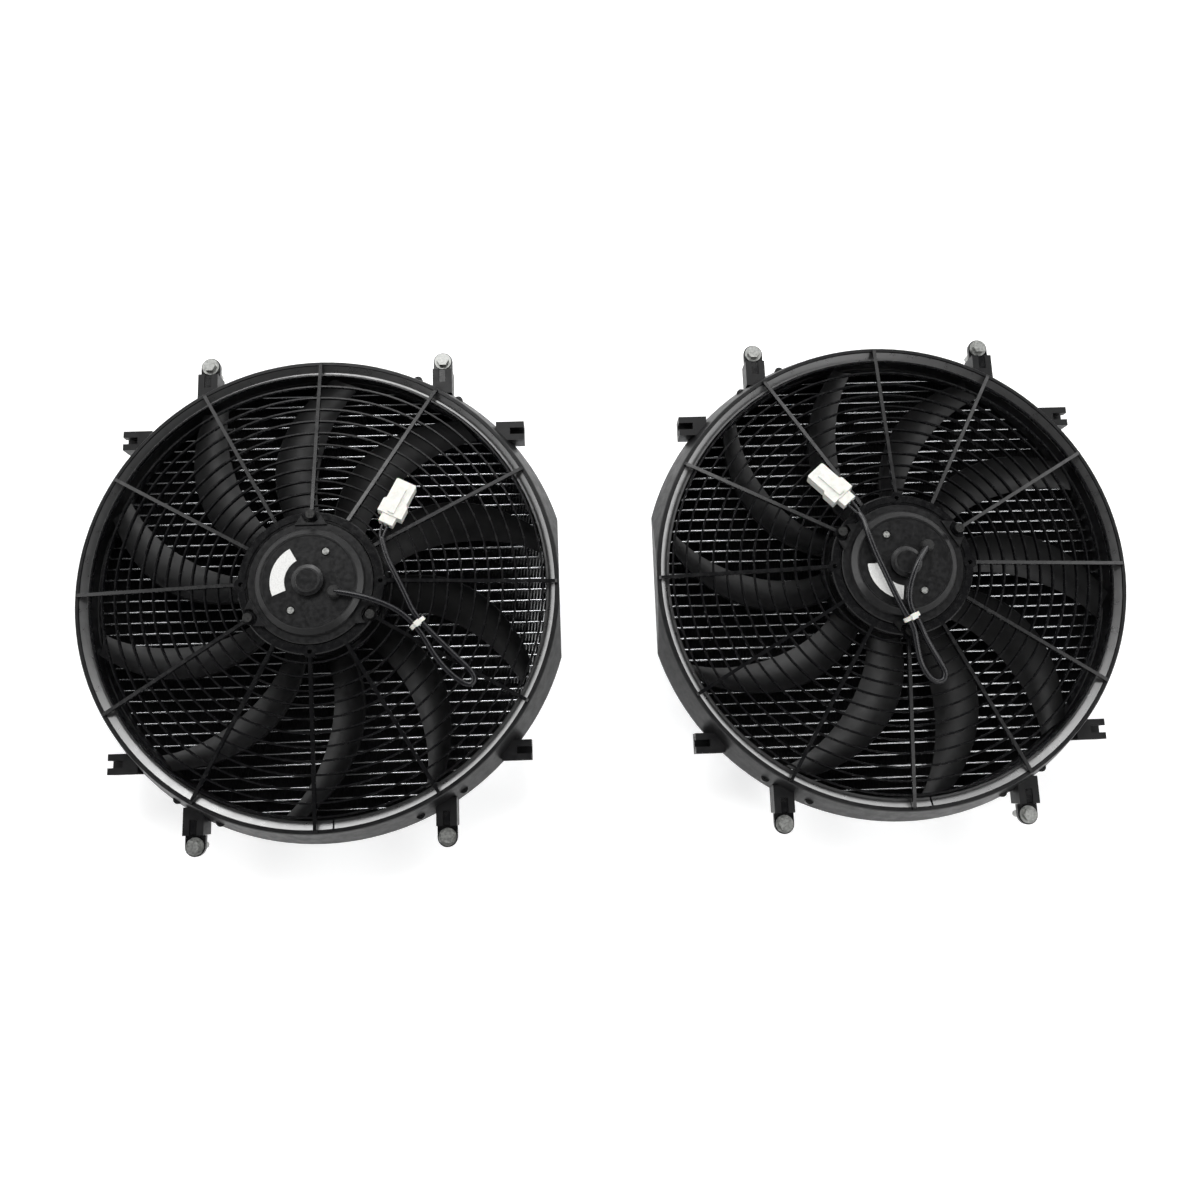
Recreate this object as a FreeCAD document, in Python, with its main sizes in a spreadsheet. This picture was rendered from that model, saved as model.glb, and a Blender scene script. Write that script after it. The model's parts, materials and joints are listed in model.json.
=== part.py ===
import FreeCAD, Part
import math
import os

import Sketcher
from FreeCAD import Placement, Rotation, Vector

# A pair of electric radiator fans, each lying face up on its own piece of radiator core.
# +X runs from the left fan to the right one and +Z points out of the core, along the fan axes.
# The origin is on the back face of the cores, midway between the two fans.
# Heights in the table are measured from the front of the core, where the shroud stands.

SIZES = [
    ("fan_spacing", 512.8, "between the two fan axes"),
    ("core_depth", 40.0, "radiator core, front to back"),
    ("core_radius", 217.0, "outside of the band round the core"),
    ("core_flat", 208.0, "fan axis to the flat side of the core"),
    ("band_wall", 1.5, "aluminium band round the core"),
    ("tube_pitch", 10.166, "from one water tube to the next"),
    ("tube_count", 41, "water tubes in one core"),
    ("tube_wide", 1.8, "thickness of a flat tube"),
    ("fin_setback", 1.0, "fins lie this far inside the tube noses, front and back"),
    ("shroud_radius", 222.0, "foot of the shroud"),
    ("shroud_flat", 212.5, "fan axis to the flat sides of the shroud"),
    ("shroud_skirt", 5.0, "straight foot of the outer wall"),
    ("rim_radius", 212.0, "outer edge of the rim"),
    ("rim_land", 2.6, "flat top of the rim"),
    ("rim_edge", 0.8, "eased outer edge of the rim"),
    ("rim_height", 34.5, "rim above the core"),
    ("duct_radius", 201.5, "inside of the duct"),
    ("mouth_drop", 7.0, "height of the bell mouth"),
    ("mouth_ledge", 1.6, "ledges above and below the bell mouth"),
    ("mouth_step", 0.9, "height of those ledges"),
    ("joint_slot_wide", 1.6, "joint line across the bell mouth"),
    ("duct_step", 1.0, "step in the duct wall"),
    ("duct_step_low", 5.0, "lower step in the duct wall"),
    ("duct_step_high", 15.0, "upper step in the duct wall"),
    ("shroud_wall", 3.0, "moulded wall"),
    ("wall_boss_circle", 217.0, "fan axis to the small bosses on the outer wall"),
    ("wall_boss_near", 55.4, "direction of the boss on one side of a foot rail, in degrees"),
    ("wall_boss_far", 66.7, "direction of the boss on the other side of the rail, in degrees"),
    ("wall_boss_radius", 4.2, "small boss on the outer wall"),
    ("wall_boss_high", 17.0, "small boss on the outer wall"),
    ("wall_boss_hole", 1.7, "radius of the hole in a small boss"),
    ("wall_boss_deep", 9.0, "depth of the hole in a small boss"),
    ("lug_height", 19.0, "rail that holds a foot"),
    ("lug_wide", 18.0, "across a rail"),
    ("lug_reach", 210.0, "fan axis to the end of a rail at the top and bottom"),
    ("lug_root", 186.0, "fan axis to the root of a rail at the top and bottom"),
    ("side_lug_reach", 184.0, "fan axis to the end of a rail at the side"),
    ("side_lug_root", 158.0, "fan axis to the root of a rail at the side"),
    ("side_lug_offset", 147.0, "fan axis to the middle of a side rail, across it"),
    ("slot_start", 197.0, "fan axis to the closed end of a rail's slot"),
    ("side_slot_start", 171.0, "fan axis to the closed end of a side rail's slot"),
    ("slot_floor", 8.0, "under the foot in its rail"),
    ("slide_gap", 0.3, "clearance of a foot in its rail"),
    ("foot_tongue", 12.6, "plate of a foot inside its rail"),
    ("foot_wide", 17.6, "plate of a foot outside its rail"),
    ("foot_thick", 4.0, "plate of a foot"),
    ("foot_rib_wide", 5.6, "rib along a foot"),
    ("foot_rib_high", 6.4, "rib above the plate"),
    ("foot_rib_end", 209.0, "fan axis to the end of the rib"),
    ("foot_bolt_across", 108.75, "fan axis to a foot bolt, along X"),
    ("foot_bolt_along", 219.6, "fan axis to a foot bolt, along Y"),
    ("bolt_radius", 3.0, "foot bolt, M6"),
    ("bolt_clearance", 0.3, "hole beyond the bolt, on the radius"),
    ("bolt_head_flats", 10.0, "across the flats of the foot bolt's head"),
    ("bolt_head_high", 4.0, "hexagon of the foot bolt's head"),
    ("bolt_flange_radius", 7.8, "flange under the foot bolt's head"),
    ("bolt_flange_thick", 1.4, "flange under the foot bolt's head"),
    ("bolt_thread_radius", 2.8, "foot bolt inside its nut, at the middle of the thread"),
    ("bolt_reach", 22.0, "foot bolt below the foot"),
    ("washer_radius", 8.0, "washer under the foot"),
    ("washer_thick", 1.6, "washer under the foot"),
    ("nut_flats", 10.0, "across the flats of the foot nut"),
    ("nut_high", 5.0, "foot nut"),
    ("spoke_count", 12, "spokes of the guard"),
    ("spoke_wide", 3.0, "across a spoke"),
    ("spoke_deep", 5.0, "top of a spoke to its underside"),
    ("ring_count", 12, "rings of the guard"),
    ("ring_first", 69.05, "radius of the smallest guard ring"),
    ("ring_pitch", 11.75, "from one guard ring to the next"),
    ("ring_wide", 2.0, "across the foot of a guard ring"),
    ("ring_top", 1.3, "across the top of a guard ring"),
    ("ring_deep", 3.0, "depth of a guard ring"),
    ("ring_below", 1.0, "top of a ring below the top of the spokes"),
    ("seat_height", 62.3, "motor seat of the guard"),
    ("seat_inner", 54.2, "hole of the motor seat"),
    ("seat_outer", 62.5, "outside of the motor seat"),
    ("seat_deep", 7.0, "depth of the motor seat"),
    ("seat_lip", 1.0, "steps round the motor seat"),
    ("seat_boss_radius", 5.5, "screw boss on the motor seat"),
    ("motor_screw_circle", 59.5, "motor axis to the motor screws"),
    ("motor_screw_radius", 2.0, "thread of a motor screw"),
    ("motor_screw_head", 4.0, "radius of a motor screw's head"),
    ("motor_screw_head_high", 3.0, "head of a motor screw"),
    ("motor_screw_long", 12.0, "motor screw below its head"),
    ("motor_turn_right", 60.0, "the right motor is turned by this against the left one"),
    ("ear_radius", 7.8, "rounded end of a motor ear"),
    ("ear_base", 14.0, "half the width of a motor ear where it meets the flange"),
    ("ear_thick", 2.7, "motor ear"),
    ("ear_root", 50.4, "motor axis to the root of an ear"),
    ("can_radius", 48.0, "outside of the motor can"),
    ("can_wall", 1.6, "motor can"),
    ("can_bottom", 24.0, "closed end of the can"),
    ("can_top", 60.0, "open end of the can"),
    ("nose_radius", 13.0, "bearing nose of the can"),
    ("nose_bottom", 18.0, "end of the bearing nose"),
    ("nose_lip", 8.0, "radius of the opening in the bearing nose"),
    ("cap_radius", 53.5, "flange of the end cap"),
    ("cap_flange", 3.3, "flange of the end cap"),
    ("cap_shoulder", 46.0, "foot of the cap's raised face"),
    ("cap_shoulder_high", 66.0, "foot of the cap's raised face"),
    ("cap_face_radius", 41.0, "raised face of the end cap"),
    ("cap_rim", 70.0, "rim round the cap's face"),
    ("cap_rim_wide", 1.2, "rim round the cap's face"),
    ("cap_face", 69.2, "face of the end cap"),
    ("cap_edge", 0.7, "eased edges of the end cap"),
    ("cap_wall", 3.0, "end cap"),
    ("cap_boss_radius", 13.5, "bearing boss of the end cap"),
    ("cap_boss_high", 73.2, "edge of the bearing boss"),
    ("cap_boss_top", 75.2, "crown of the bearing boss"),
    ("cap_boss_crown", 10.6, "radius of the crown on the bearing boss"),
    ("bearing_radius", 11.0, "outside of a motor bearing"),
    ("bearing_wide", 7.0, "width of a motor bearing"),
    ("bearing_front", 19.4, "lower face of the front bearing"),
    ("bearing_rear", 64.6, "lower face of the rear bearing"),
    ("shaft_radius", 4.0, "motor shaft"),
    ("shaft_fit", 0.03, "running clearance of the shaft, on the radius"),
    ("shaft_low", 2.6, "threaded end of the shaft"),
    ("shaft_high", 71.0, "rear end of the shaft"),
    ("magnet_gap", 0.8, "air gap between armature and magnets"),
    ("magnet_thick", 8.4, "field magnet"),
    ("magnet_low", 28.0, "lower end of the magnets"),
    ("magnet_high", 50.0, "upper end of the magnets"),
    ("magnet_half_angle", 34.0, "half the arc of a magnet, in degrees"),
    ("stack_low", 31.0, "lower end of the armature stack"),
    ("stack_high", 45.0, "upper end of the armature stack"),
    ("stack_slots", 12, "slots of the armature"),
    ("stack_slot_wide", 6.0, "slot of the armature"),
    ("stack_slot_floor", 20.0, "motor axis to the floor of a slot"),
    ("coil_margin", 2.2, "windings below the top of the slots"),
    ("coil_end", 3.6, "windings beyond the stack"),
    ("commutator_radius", 11.0, "commutator"),
    ("commutator_low", 49.0, "lower end of the commutator"),
    ("commutator_high", 60.0, "upper end of the commutator"),
    ("card_radius", 43.0, "brush card"),
    ("card_hole", 12.5, "hole of the brush card"),
    ("card_low", 59.0, "underside of the brush card"),
    ("card_thick", 2.0, "brush card"),
    ("brush_gap", 0.3, "brush to commutator"),
    ("brush_long", 11.0, "carbon brush"),
    ("brush_wide", 6.0, "carbon brush"),
    ("brush_high", 6.0, "carbon brush"),
    ("card_screw_circle", 29.0, "motor axis to the card screws"),
    ("card_screw_radius", 1.5, "card screw"),
    ("card_screw_head", 2.9, "radius of a card screw's head"),
    ("card_screw_head_high", 2.0, "head of a card screw"),
    ("card_post_radius", 4.0, "post under the cap that carries the card"),
    ("grommet_across", 21.8, "motor axis to the grommet, along X"),
    ("grommet_along", -10.4, "motor axis to the grommet, along Y"),
    ("grommet_hole", 4.2, "radius of the hole for the grommet"),
    ("grommet_collar", 5.8, "radius of the grommet's collar"),
    ("grommet_high", 7.0, "grommet above the cap's face"),
    ("screw_recess_radius", 4.0, "recess round a card screw"),
    ("screw_recess_deep", 0.8, "recess round a card screw"),
    ("label_inner", 20.5, "inner edge of the label"),
    ("label_outer", 32.7, "outer edge of the label"),
    ("label_middle", 161.0, "direction of the label's middle, in degrees"),
    ("label_half_angle", 41.0, "half the arc of the label, in degrees"),
    ("label_thick", 0.3, "label"),
    ("hub_radius", 60.0, "outside of the fan hub"),
    ("hub_wall", 3.0, "fan hub"),
    ("hub_low", 8.0, "underside of the fan hub"),
    ("hub_high", 38.0, "open edge of the fan hub"),
    ("hub_bevel", 4.0, "bevel round the underside of the hub"),
    ("hub_boss_radius", 12.0, "boss round the shaft"),
    ("hub_boss_high", 16.5, "top of the boss round the shaft"),
    ("hub_rib_high", 18.0, "top of the ribs in the hub"),
    ("hub_rib_wide", 2.4, "rib in the hub"),
    ("rotor_nut_flats", 13.0, "across the flats of the rotor nut"),
    ("rotor_nut_high", 4.6, "rotor nut"),
    ("blade_count", 10, "blades of the fan"),
    ("blade_thick", 2.4, "fan blade"),
    ("blade_curve", 60.0, "radius of the blade's hollow, across it"),
    ("blade_middle", 20.0, "middle of the blades above the core"),
    ("blade_tip", 198.5, "fan axis to the tips of the blades"),
    ("wire_bundle", 5.2, "thickness of the twin lead"),
    ("lead_gap", 0.2, "lead to the hole of its grommet"),
    ("plug_long", 20.0, "front part of the plug"),
    ("plug_collar_long", 14.0, "wide part of the plug"),
    ("plug_collar_wide", 22.4, "wide part of the plug"),
    ("plug_wide", 18.4, "front part of the plug"),
    ("plug_thick", 10.4, "housing of the plug"),
    ("plug_neck_long", 8.0, "wire entry of the plug"),
    ("plug_neck_wide", 13.0, "wire entry of the plug"),
    ("plug_neck_thick", 8.0, "wire entry of the plug"),
    ("plug_cell_wide", 6.6, "opening for one terminal"),
    ("plug_cell_high", 7.0, "opening for one terminal"),
    ("plug_cell_deep", 18.0, "opening for one terminal"),
    ("plug_cell_spacing", 8.6, "from one terminal to the other"),
    ("plug_latch_wide", 6.0, "latch on the plug"),
    ("plug_latch_high", 1.6, "latch on the plug"),
    ("pin_across", 2.4, "terminal in the plug"),
    ("pin_long", 12.0, "terminal in the plug"),
    ("tie_wide", 3.6, "strap of the cable tie"),
    ("tie_thick", 1.2, "strap of the cable tie"),
    ("tie_inner_long", 12.6, "inside of the closed cable tie"),
    ("tie_inner_high", 6.2, "inside of the closed cable tie"),
    ("tie_head", 5.0, "head of the cable tie"),
]

# Distance from the axis, sweep in degrees, chord and pitch in degrees of each blade section.
BLADE_SECTIONS = [
    (57.4, 0.0, 33.0, 42.0),
    (95.0, -2.0, 38.0, 38.0),
    (130.0, 2.8, 42.0, 34.0),
    (165.0, 9.8, 40.0, 30.0),
    (203.0, 19.5, 36.0, 27.0),
]

# Route of each lead from its grommet, round its tied loop, to its plug: X and Y from the fan
# axis and the height above the core.
LEFT_LEAD = [
    (23.0, -10.6, 73.6),
    (40.5, -13.8, 74.0),
    (57.5, -19.0, 71.0),
    (71.5, -25.0, 67.0),
    (83.0, -33.3, 63.6),
    (94.6, -47.1, 60.6),
    (104.5, -66.0, 56.8),
    (118.0, -82.5, 53.0),
    (132.5, -92.5, 50.4),
    (138.5, -88.0, 50.2),
    (135.5, -79.5, 51.0),
    (121.5, -66.0, 54.2),
    (108.5, -52.5, 58.0),
    (99.4, -43.1, 61.0),
    (87.8, -29.3, 63.8),
    (80.5, -12.0, 66.2),
    (73.0, 4.0, 67.4),
    (66.2, 18.0, 67.6),
    (62.6, 30.5, 67.2),
    (60.6, 40.5, 66.4),
    (64.4, 48.6, 65.0),
]
RIGHT_LEAD = [
    (18.6, 12.3, 73.6),
    (9.5, 1.5, 78.4),
    (2.6, -12.5, 78.4),
    (-1.2, -26.5, 75.4),
    (-1.2, -39.1, 73.6),
    (6.8, -55.1, 72.2),
    (13.5, -69.0, 67.6),
    (24.0, -85.5, 62.6),
    (30.0, -97.5, 60.4),
    (24.5, -104.5, 59.8),
    (15.0, -100.5, 60.6),
    (7.5, -87.5, 63.2),
    (3.6, -72.0, 68.8),
    (1.2, -57.9, 73.2),
    (-6.8, -41.9, 73.9),
    (-13.8, -26.0, 74.6),
    (-20.0, -9.0, 74.6),
    (-26.5, 8.0, 74.2),
    (-31.5, 26.0, 73.6),
    (-34.5, 45.0, 69.0),
    (-43.6, 55.4, 66.6),
]

# Middle of each cable tie, the direction of the strands through it and their fall, in degrees.
LEFT_TIE = (91.2, -38.2, 62.25, -50.0, 9.4)
RIGHT_TIE = (0.0, -48.5, 73.2, -63.4, 3.4)

# Back face of each plug, its direction in degrees, and the middle of the guard under it.
LEFT_PLUG = (64.4, 48.6, 64.5, 44.0)
RIGHT_PLUG = (-43.6, 55.4, 131.0, 127.1)


class Size:
    """A length, angle or number: its value, and the expression that gives it from the table."""

    def __init__(self, value, formula):
        self.value = float(value)
        self.formula = formula

    def __add__(self, other):
        other = as_size(other)
        return Size(self.value + other.value, f"({self.formula} + {other.formula})")

    def __sub__(self, other):
        other = as_size(other)
        return Size(self.value - other.value, f"({self.formula} - {other.formula})")

    def __mul__(self, other):
        other = as_size(other)
        return Size(self.value * other.value, f"({self.formula} * {other.formula})")

    def __truediv__(self, other):
        other = as_size(other)
        return Size(self.value / other.value, f"({self.formula} / {other.formula})")

    def __radd__(self, other):
        return as_size(other) + self

    def __rsub__(self, other):
        return as_size(other) - self

    def __rmul__(self, other):
        return as_size(other) * self

    def __neg__(self):
        return Size(-self.value, f"(-1 * {self.formula})")


def as_size(number):
    return number if isinstance(number, Size) else Size(number, f"({number})")


def sine(angle):
    angle = as_size(angle)
    return Size(math.sin(math.radians(angle.value)), f"sin({angle.formula} * 1 deg)")


def cosine(angle):
    angle = as_size(angle)
    return Size(math.cos(math.radians(angle.value)), f"cos({angle.formula} * 1 deg)")


document = FreeCAD.newDocument("RadiatorFans")
sheet = document.addObject("Spreadsheet::Sheet", "Sizes")
for row, (alias, number, meaning) in enumerate(SIZES, start=1):
    sheet.set(f"A{row}", alias.replace("_", " "))
    sheet.set(f"B{row}", str(number))
    sheet.set(f"C{row}", meaning)
    sheet.setAlias(f"B{row}", alias)
document.recompute()


def size(alias):
    return Size(sheet.get(alias), f"Sizes.{alias}")


def bind(thing, path, value):
    thing.setExpression(path, as_size(value).formula)


def place(thing, unit, base=(0, 0, 0), turn=None, height_from_core=True):
    """Put a sub-part at a point of its fan, turned about the vertical by a number of degrees."""
    across, along, up = (as_size(value) for value in base)
    if height_from_core:
        up = up + size("core_depth")
    if turn is not None:
        thing.Placement = Placement(Vector(), Rotation(Vector(0, 0, 1), as_size(turn).value))
        bind(thing, "Placement.Rotation.Angle", as_size(turn))
    bind(thing, "Placement.Base.x", unit["x"] + across)
    bind(thing, "Placement.Base.y", along)
    bind(thing, "Placement.Base.z", up)


def new_body(label):
    body = document.addObject("PartDesign::Body", "Body")
    body.Label = label
    body.AllowCompound = True
    return body


def origin_feature(body, role):
    return next(item for item in body.Origin.OriginFeatures if item.Role == role)


def new_sketch(body, plane, offset=None):
    sketch = body.newObject("Sketcher::SketchObject", "Sketch")
    sketch.AttachmentSupport = [(origin_feature(body, plane), "")]
    sketch.MapMode = "FlatFace"
    if offset is not None:
        bind(sketch, "AttachmentOffset.Base.z", offset)
    return sketch


def constrain(sketch, kind, *values):
    """Add a constraint whose last value is a size, bound to the table."""
    measure = as_size(values[-1])
    index = sketch.addConstraint(Sketcher.Constraint(kind, *values[:-1], measure.value))
    bind(sketch, f"Constraints[{index}]", measure)


def draw(sketch, corners):
    """Draw a closed outline. A corner is (x, y), or (x, y, radius) where an arc runs on from it.

    The arc bulges to the left of its direction for a positive radius and to the right for a
    negative one.
    """
    points = [Vector(as_size(c[0]).value, as_size(c[1]).value, 0) for c in corners]
    first = sketch.GeometryCount
    ends = []
    for number, corner in enumerate(corners):
        start = points[number]
        end = points[(number + 1) % len(points)]
        if len(corner) == 2:
            sketch.addGeometry(Part.LineSegment(start, end))
            ends.append((1, 2))
            continue
        radius = as_size(corner[2])
        chord = end - start
        left = Vector(-chord.y, chord.x, 0).normalize()
        side = 1 if radius.value > 0 else -1
        depth = math.sqrt(max(radius.value ** 2 - chord.Length ** 2 / 4, 0))
        centre = (start + end) * 0.5 - left * depth * side
        low, high = (end, start) if side > 0 else (start, end)
        low_angle = math.atan2(low.y - centre.y, low.x - centre.x)
        high_angle = math.atan2(high.y - centre.y, high.x - centre.x)
        circle = Part.Circle(centre, Vector(0, 0, 1), abs(radius.value))
        sketch.addGeometry(Part.ArcOfCircle(circle, low_angle, high_angle))
        ends.append((2, 1) if side > 0 else (1, 2))
        if depth > 0.001:
            constrain(sketch, "Radius", first + number, radius if side > 0 else -radius)
            continue
        # A half circle is held by the middle of its chord.
        following = corners[(number + 1) % len(corners)]
        axis, kind = (1, "DistanceY") if abs(chord.x) > abs(chord.y) else (0, "DistanceX")
        middle = (as_size(corner[axis]) + following[axis]) / 2
        constrain(sketch, kind, -1, 1, first + number, 3, middle)
    for number, corner in enumerate(corners):
        start_end = ends[number][0]
        following = (number + 1) % len(corners)
        join = (first + number, ends[number][1], first + following, ends[following][0])
        sketch.addConstraint(Sketcher.Constraint("Coincident", *join))
        constrain(sketch, "DistanceX", -1, 1, first + number, start_end, corner[0])
        constrain(sketch, "DistanceY", -1, 1, first + number, start_end, corner[1])


def draw_circle(sketch, across, along, radius):
    centre = Vector(as_size(across).value, as_size(along).value, 0)
    index = sketch.addGeometry(Part.Circle(centre, Vector(0, 0, 1), as_size(radius).value))
    constrain(sketch, "Radius", index, radius)
    constrain(sketch, "DistanceX", -1, 1, index, 3, across)
    constrain(sketch, "DistanceY", -1, 1, index, 3, along)


def rectangle(x_low, x_high, y_low, y_high):
    return [(x_low, y_low), (x_high, y_low), (x_high, y_high), (x_low, y_high)]


def hexagon(flats):
    """Corners of a hexagon centred on the origin, from the distance across its flats."""
    corner = flats / math.sqrt(3)
    return [(corner * cosine(60 * side), corner * sine(60 * side)) for side in range(6)]


def turn_profile(body, corners, cut=False):
    """Turn an outline of (radius, height) about the vertical axis."""
    sketch = new_sketch(body, "XZ_Plane")
    draw(sketch, corners)
    kind = "PartDesign::Groove" if cut else "PartDesign::Revolution"
    feature = body.newObject(kind, "Turning")
    feature.Profile = sketch
    feature.ReferenceAxis = (sketch, ["V_Axis"])
    feature.Angle = 360
    return feature


def raise_outline(body, outlines, low, high, cut=False, plane="XY_Plane"):
    """Pad or cut straight outlines between two heights over a plane of the body."""
    sketch = new_sketch(body, plane, low)
    for outline in outlines:
        if len(outline) == 3 and not isinstance(outline[0], tuple):
            draw_circle(sketch, *outline)
        else:
            draw(sketch, outline)
    feature = body.newObject("PartDesign::Pocket" if cut else "PartDesign::Pad", "Block")
    feature.Profile = sketch
    bind(feature, "Length", as_size(high) - low)
    feature.Reversed = cut
    return feature


def repeat_round(body, features, count):
    pattern = body.newObject("PartDesign::PolarPattern", "Round")
    pattern.Originals = features
    pattern.Axis = (origin_feature(body, "Z_Axis"), [""])
    pattern.Angle = 360
    bind(pattern, "Occurrences", count)
    body.Tip = pattern
    return pattern


def combine(kind, label, first, second):
    result = document.addObject(kind, "Joined")
    result.Label = label
    result.Base = first
    result.Tool = second
    return result


def polar_point(radius, angle):
    return radius * cosine(angle), radius * sine(angle)


def spoke_top(radius):
    """Height of the guard's spokes at a distance from the fan axis."""
    fall = (size("seat_height") - size("rim_height") - size("spoke_deep") / 2)
    reach = size("rim_radius") - size("seat_outer")
    return size("seat_height") - (radius - size("seat_outer")) * fall / reach


def core_block(unit, label, inset, low, high):
    """The round core with its two flat sides, an even distance inside its outline."""
    disc = document.addObject("Part::Cylinder", "Disc")
    disc.Label = label + "_disc"
    bind(disc, "Radius", size("core_radius") - inset)
    bind(disc, "Height", as_size(high) - low)
    bind(disc, "Placement.Base.z", low)
    slab = document.addObject("Part::Box", "Slab")
    slab.Label = label + "_slab"
    bind(slab, "Length", (size("core_flat") - inset) * 2)
    bind(slab, "Width", size("core_radius") * 2)
    bind(slab, "Height", as_size(high) - low)
    bind(slab, "Placement.Base.x", inset - size("core_flat"))
    bind(slab, "Placement.Base.y", -size("core_radius"))
    bind(slab, "Placement.Base.z", low)
    return combine("Part::Common", label, disc, slab)


def make_core(unit):
    name = unit["name"]
    depth = size("core_depth")
    nose = size("tube_wide") / 2
    tubes = new_body(name + "_tube_stack")
    first_row = -size("tube_pitch") * (size("tube_count") - 1) / 2
    sketch = new_sketch(tubes, "YZ_Plane", -size("core_radius"))
    draw(sketch, [
        (first_row - nose, depth - nose, nose),
        (first_row + nose, depth - nose),
        (first_row + nose, nose, nose),
        (first_row - nose, nose),
    ])
    tube = tubes.newObject("PartDesign::Pad", "Tube")
    tube.Profile = sketch
    bind(tube, "Length", size("core_radius") * 2)
    rows = tubes.newObject("PartDesign::LinearPattern", "Rows")
    rows.Originals = [tube]
    rows.Direction = (origin_feature(tubes, "Y_Axis"), [""])
    bind(rows, "Length", size("tube_pitch") * (size("tube_count") - 1))
    bind(rows, "Occurrences", size("tube_count"))
    tubes.Tip = rows

    inside = core_block(unit, name + "_core_inside", size("band_wall"), 0, depth)
    setback = size("fin_setback")
    fin_room = core_block(unit, name + "_fin_room", size("band_wall"), setback, depth - setback)
    outside = core_block(unit, name + "_core_outside", as_size(0), 0, depth)
    core_tubes = combine("Part::Common", name + "_core_tubes", tubes, inside)
    core_fins = combine("Part::Cut", name + "_core_fins", fin_room, tubes)
    core_band = combine("Part::Cut", name + "_core_band", outside, inside)
    for piece in (core_tubes, core_fins, core_band):
        place(piece, unit, height_from_core=False)
    return [core_tubes, core_fins, core_band]


def shroud_profile():
    """Outline of the ring between its outer wall and its duct, with the bell mouth at the top."""
    duct = size("duct_radius")
    step = size("duct_step")
    top = size("rim_height")
    edge = size("rim_edge")
    land = size("rim_radius") - size("rim_land")
    ledge = size("mouth_ledge")
    ledge_step = size("mouth_step")
    return [
        (size("shroud_radius"), 0),
        (size("shroud_radius"), size("shroud_skirt")),
        (size("rim_radius") + edge, top - edge * 1.5),
        (size("rim_radius"), top),
        (land, top),
        (land, top - ledge_step),
        (land - ledge / 2, top - ledge_step),
        (duct + ledge, top - size("mouth_drop")),
        (duct, top - size("mouth_drop")),
        (duct, size("duct_step_high")),
        (duct - step, size("duct_step_high") - step),
        (duct - step, size("duct_step_low")),
        (duct + step, size("duct_step_low") - step),
        (duct + step, 0),
    ]


def hollow_profile():
    """Outline of the open underside, a wall's thickness inside the ring."""
    wall = size("shroud_wall")
    duct = size("duct_radius")
    top = size("rim_height") - wall * 2
    return [
        (size("shroud_radius") - wall, 0),
        (size("shroud_radius") - wall, size("shroud_skirt")),
        (size("rim_radius") - wall / 2, top),
        (duct + wall * 2, top),
        (duct + wall, top - wall),
        (duct + wall, 0),
    ]


def shroud_block(label, profile, inset):
    ring = new_body(label + "_ring")
    turn_profile(ring, profile)
    slab = document.addObject("Part::Box", "Slab")
    slab.Label = label + "_slab"
    bind(slab, "Length", (size("shroud_flat") - inset) * 2)
    bind(slab, "Width", size("shroud_radius") * 2)
    bind(slab, "Height", size("rim_height") + inset)
    bind(slab, "Placement.Base.x", inset - size("shroud_flat"))
    bind(slab, "Placement.Base.y", -size("shroud_radius"))
    return combine("Part::Common", label, ring, slab)


def rail_outlines(start_along, start_side, half_width):
    """Eight outlines that run outwards: four at the top and bottom and four at the sides."""
    outlines = []
    for across_sign in (-1, 1):
        for along_sign in (-1, 1):
            middle = size("foot_bolt_across") * across_sign
            ends = sorted((start_along * along_sign, size("lug_reach") * along_sign),
                          key=lambda end: end.value)
            outlines.append(rectangle(middle - half_width, middle + half_width, *ends))
            middle = size("side_lug_offset") * along_sign
            ends = sorted((start_side * across_sign, size("side_lug_reach") * across_sign),
                          key=lambda end: end.value)
            outlines.append(rectangle(*ends, middle - half_width, middle + half_width))
    return outlines


def make_shroud(unit):
    name = unit["name"]
    outer = shroud_block(name + "_shroud_outer", shroud_profile(), as_size(0))
    hollow = shroud_block(name + "_shroud_hollow", hollow_profile(), size("shroud_wall"))
    shell = combine("Part::Cut", name + "_shroud_shell", outer, hollow)
    shroud = new_body(name + "_shroud")
    shroud.BaseFeature = shell
    half_lug = size("lug_wide") / 2
    floor = size("slot_floor")
    gap = size("slide_gap")
    raise_outline(shroud, rail_outlines(size("lug_root"), size("side_lug_root"), half_lug),
                  0, size("lug_height"))
    slot_top = floor + size("foot_thick") + gap
    slot = rail_outlines(size("slot_start"), size("side_slot_start"), size("foot_tongue") / 2 + gap)
    raise_outline(shroud, slot, floor, slot_top, cut=True)
    neck = rail_outlines(size("slot_start"), size("side_slot_start"), size("foot_rib_wide") / 2 + gap)
    raise_outline(shroud, neck, slot_top - gap, size("lug_height"), cut=True)
    # Two small screw bosses stand on the outer wall beside each rail that has a foot.
    near = size("wall_boss_near")
    far = size("wall_boss_far")
    spots = [polar_point(size("wall_boss_circle"), angle)
             for angle in (near, far, 180 - near, 180 - far, 180 + near, 180 + far, -near, -far)]
    boss_top = size("wall_boss_high")
    raise_outline(shroud, [(*spot, size("wall_boss_radius")) for spot in spots], 0, boss_top)
    raise_outline(shroud, [(*spot, size("wall_boss_hole")) for spot in spots],
                  boss_top - size("wall_boss_deep"), boss_top, cut=True)
    # A short joint line crosses the bell mouth at the low end of the fan.
    joint = size("joint_slot_wide") / 2
    across = as_size(unit["joint_across"])
    mouth = size("duct_radius") - 1
    raise_outline(
        shroud,
        [rectangle(across - joint, across + joint, -size("rim_radius") + size("rim_land"), -mouth)],
        size("rim_height") - size("mouth_drop") - 1,
        size("rim_height") + 1,
        cut=True,
    )
    place(shroud, unit)
    return [shroud]


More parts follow.
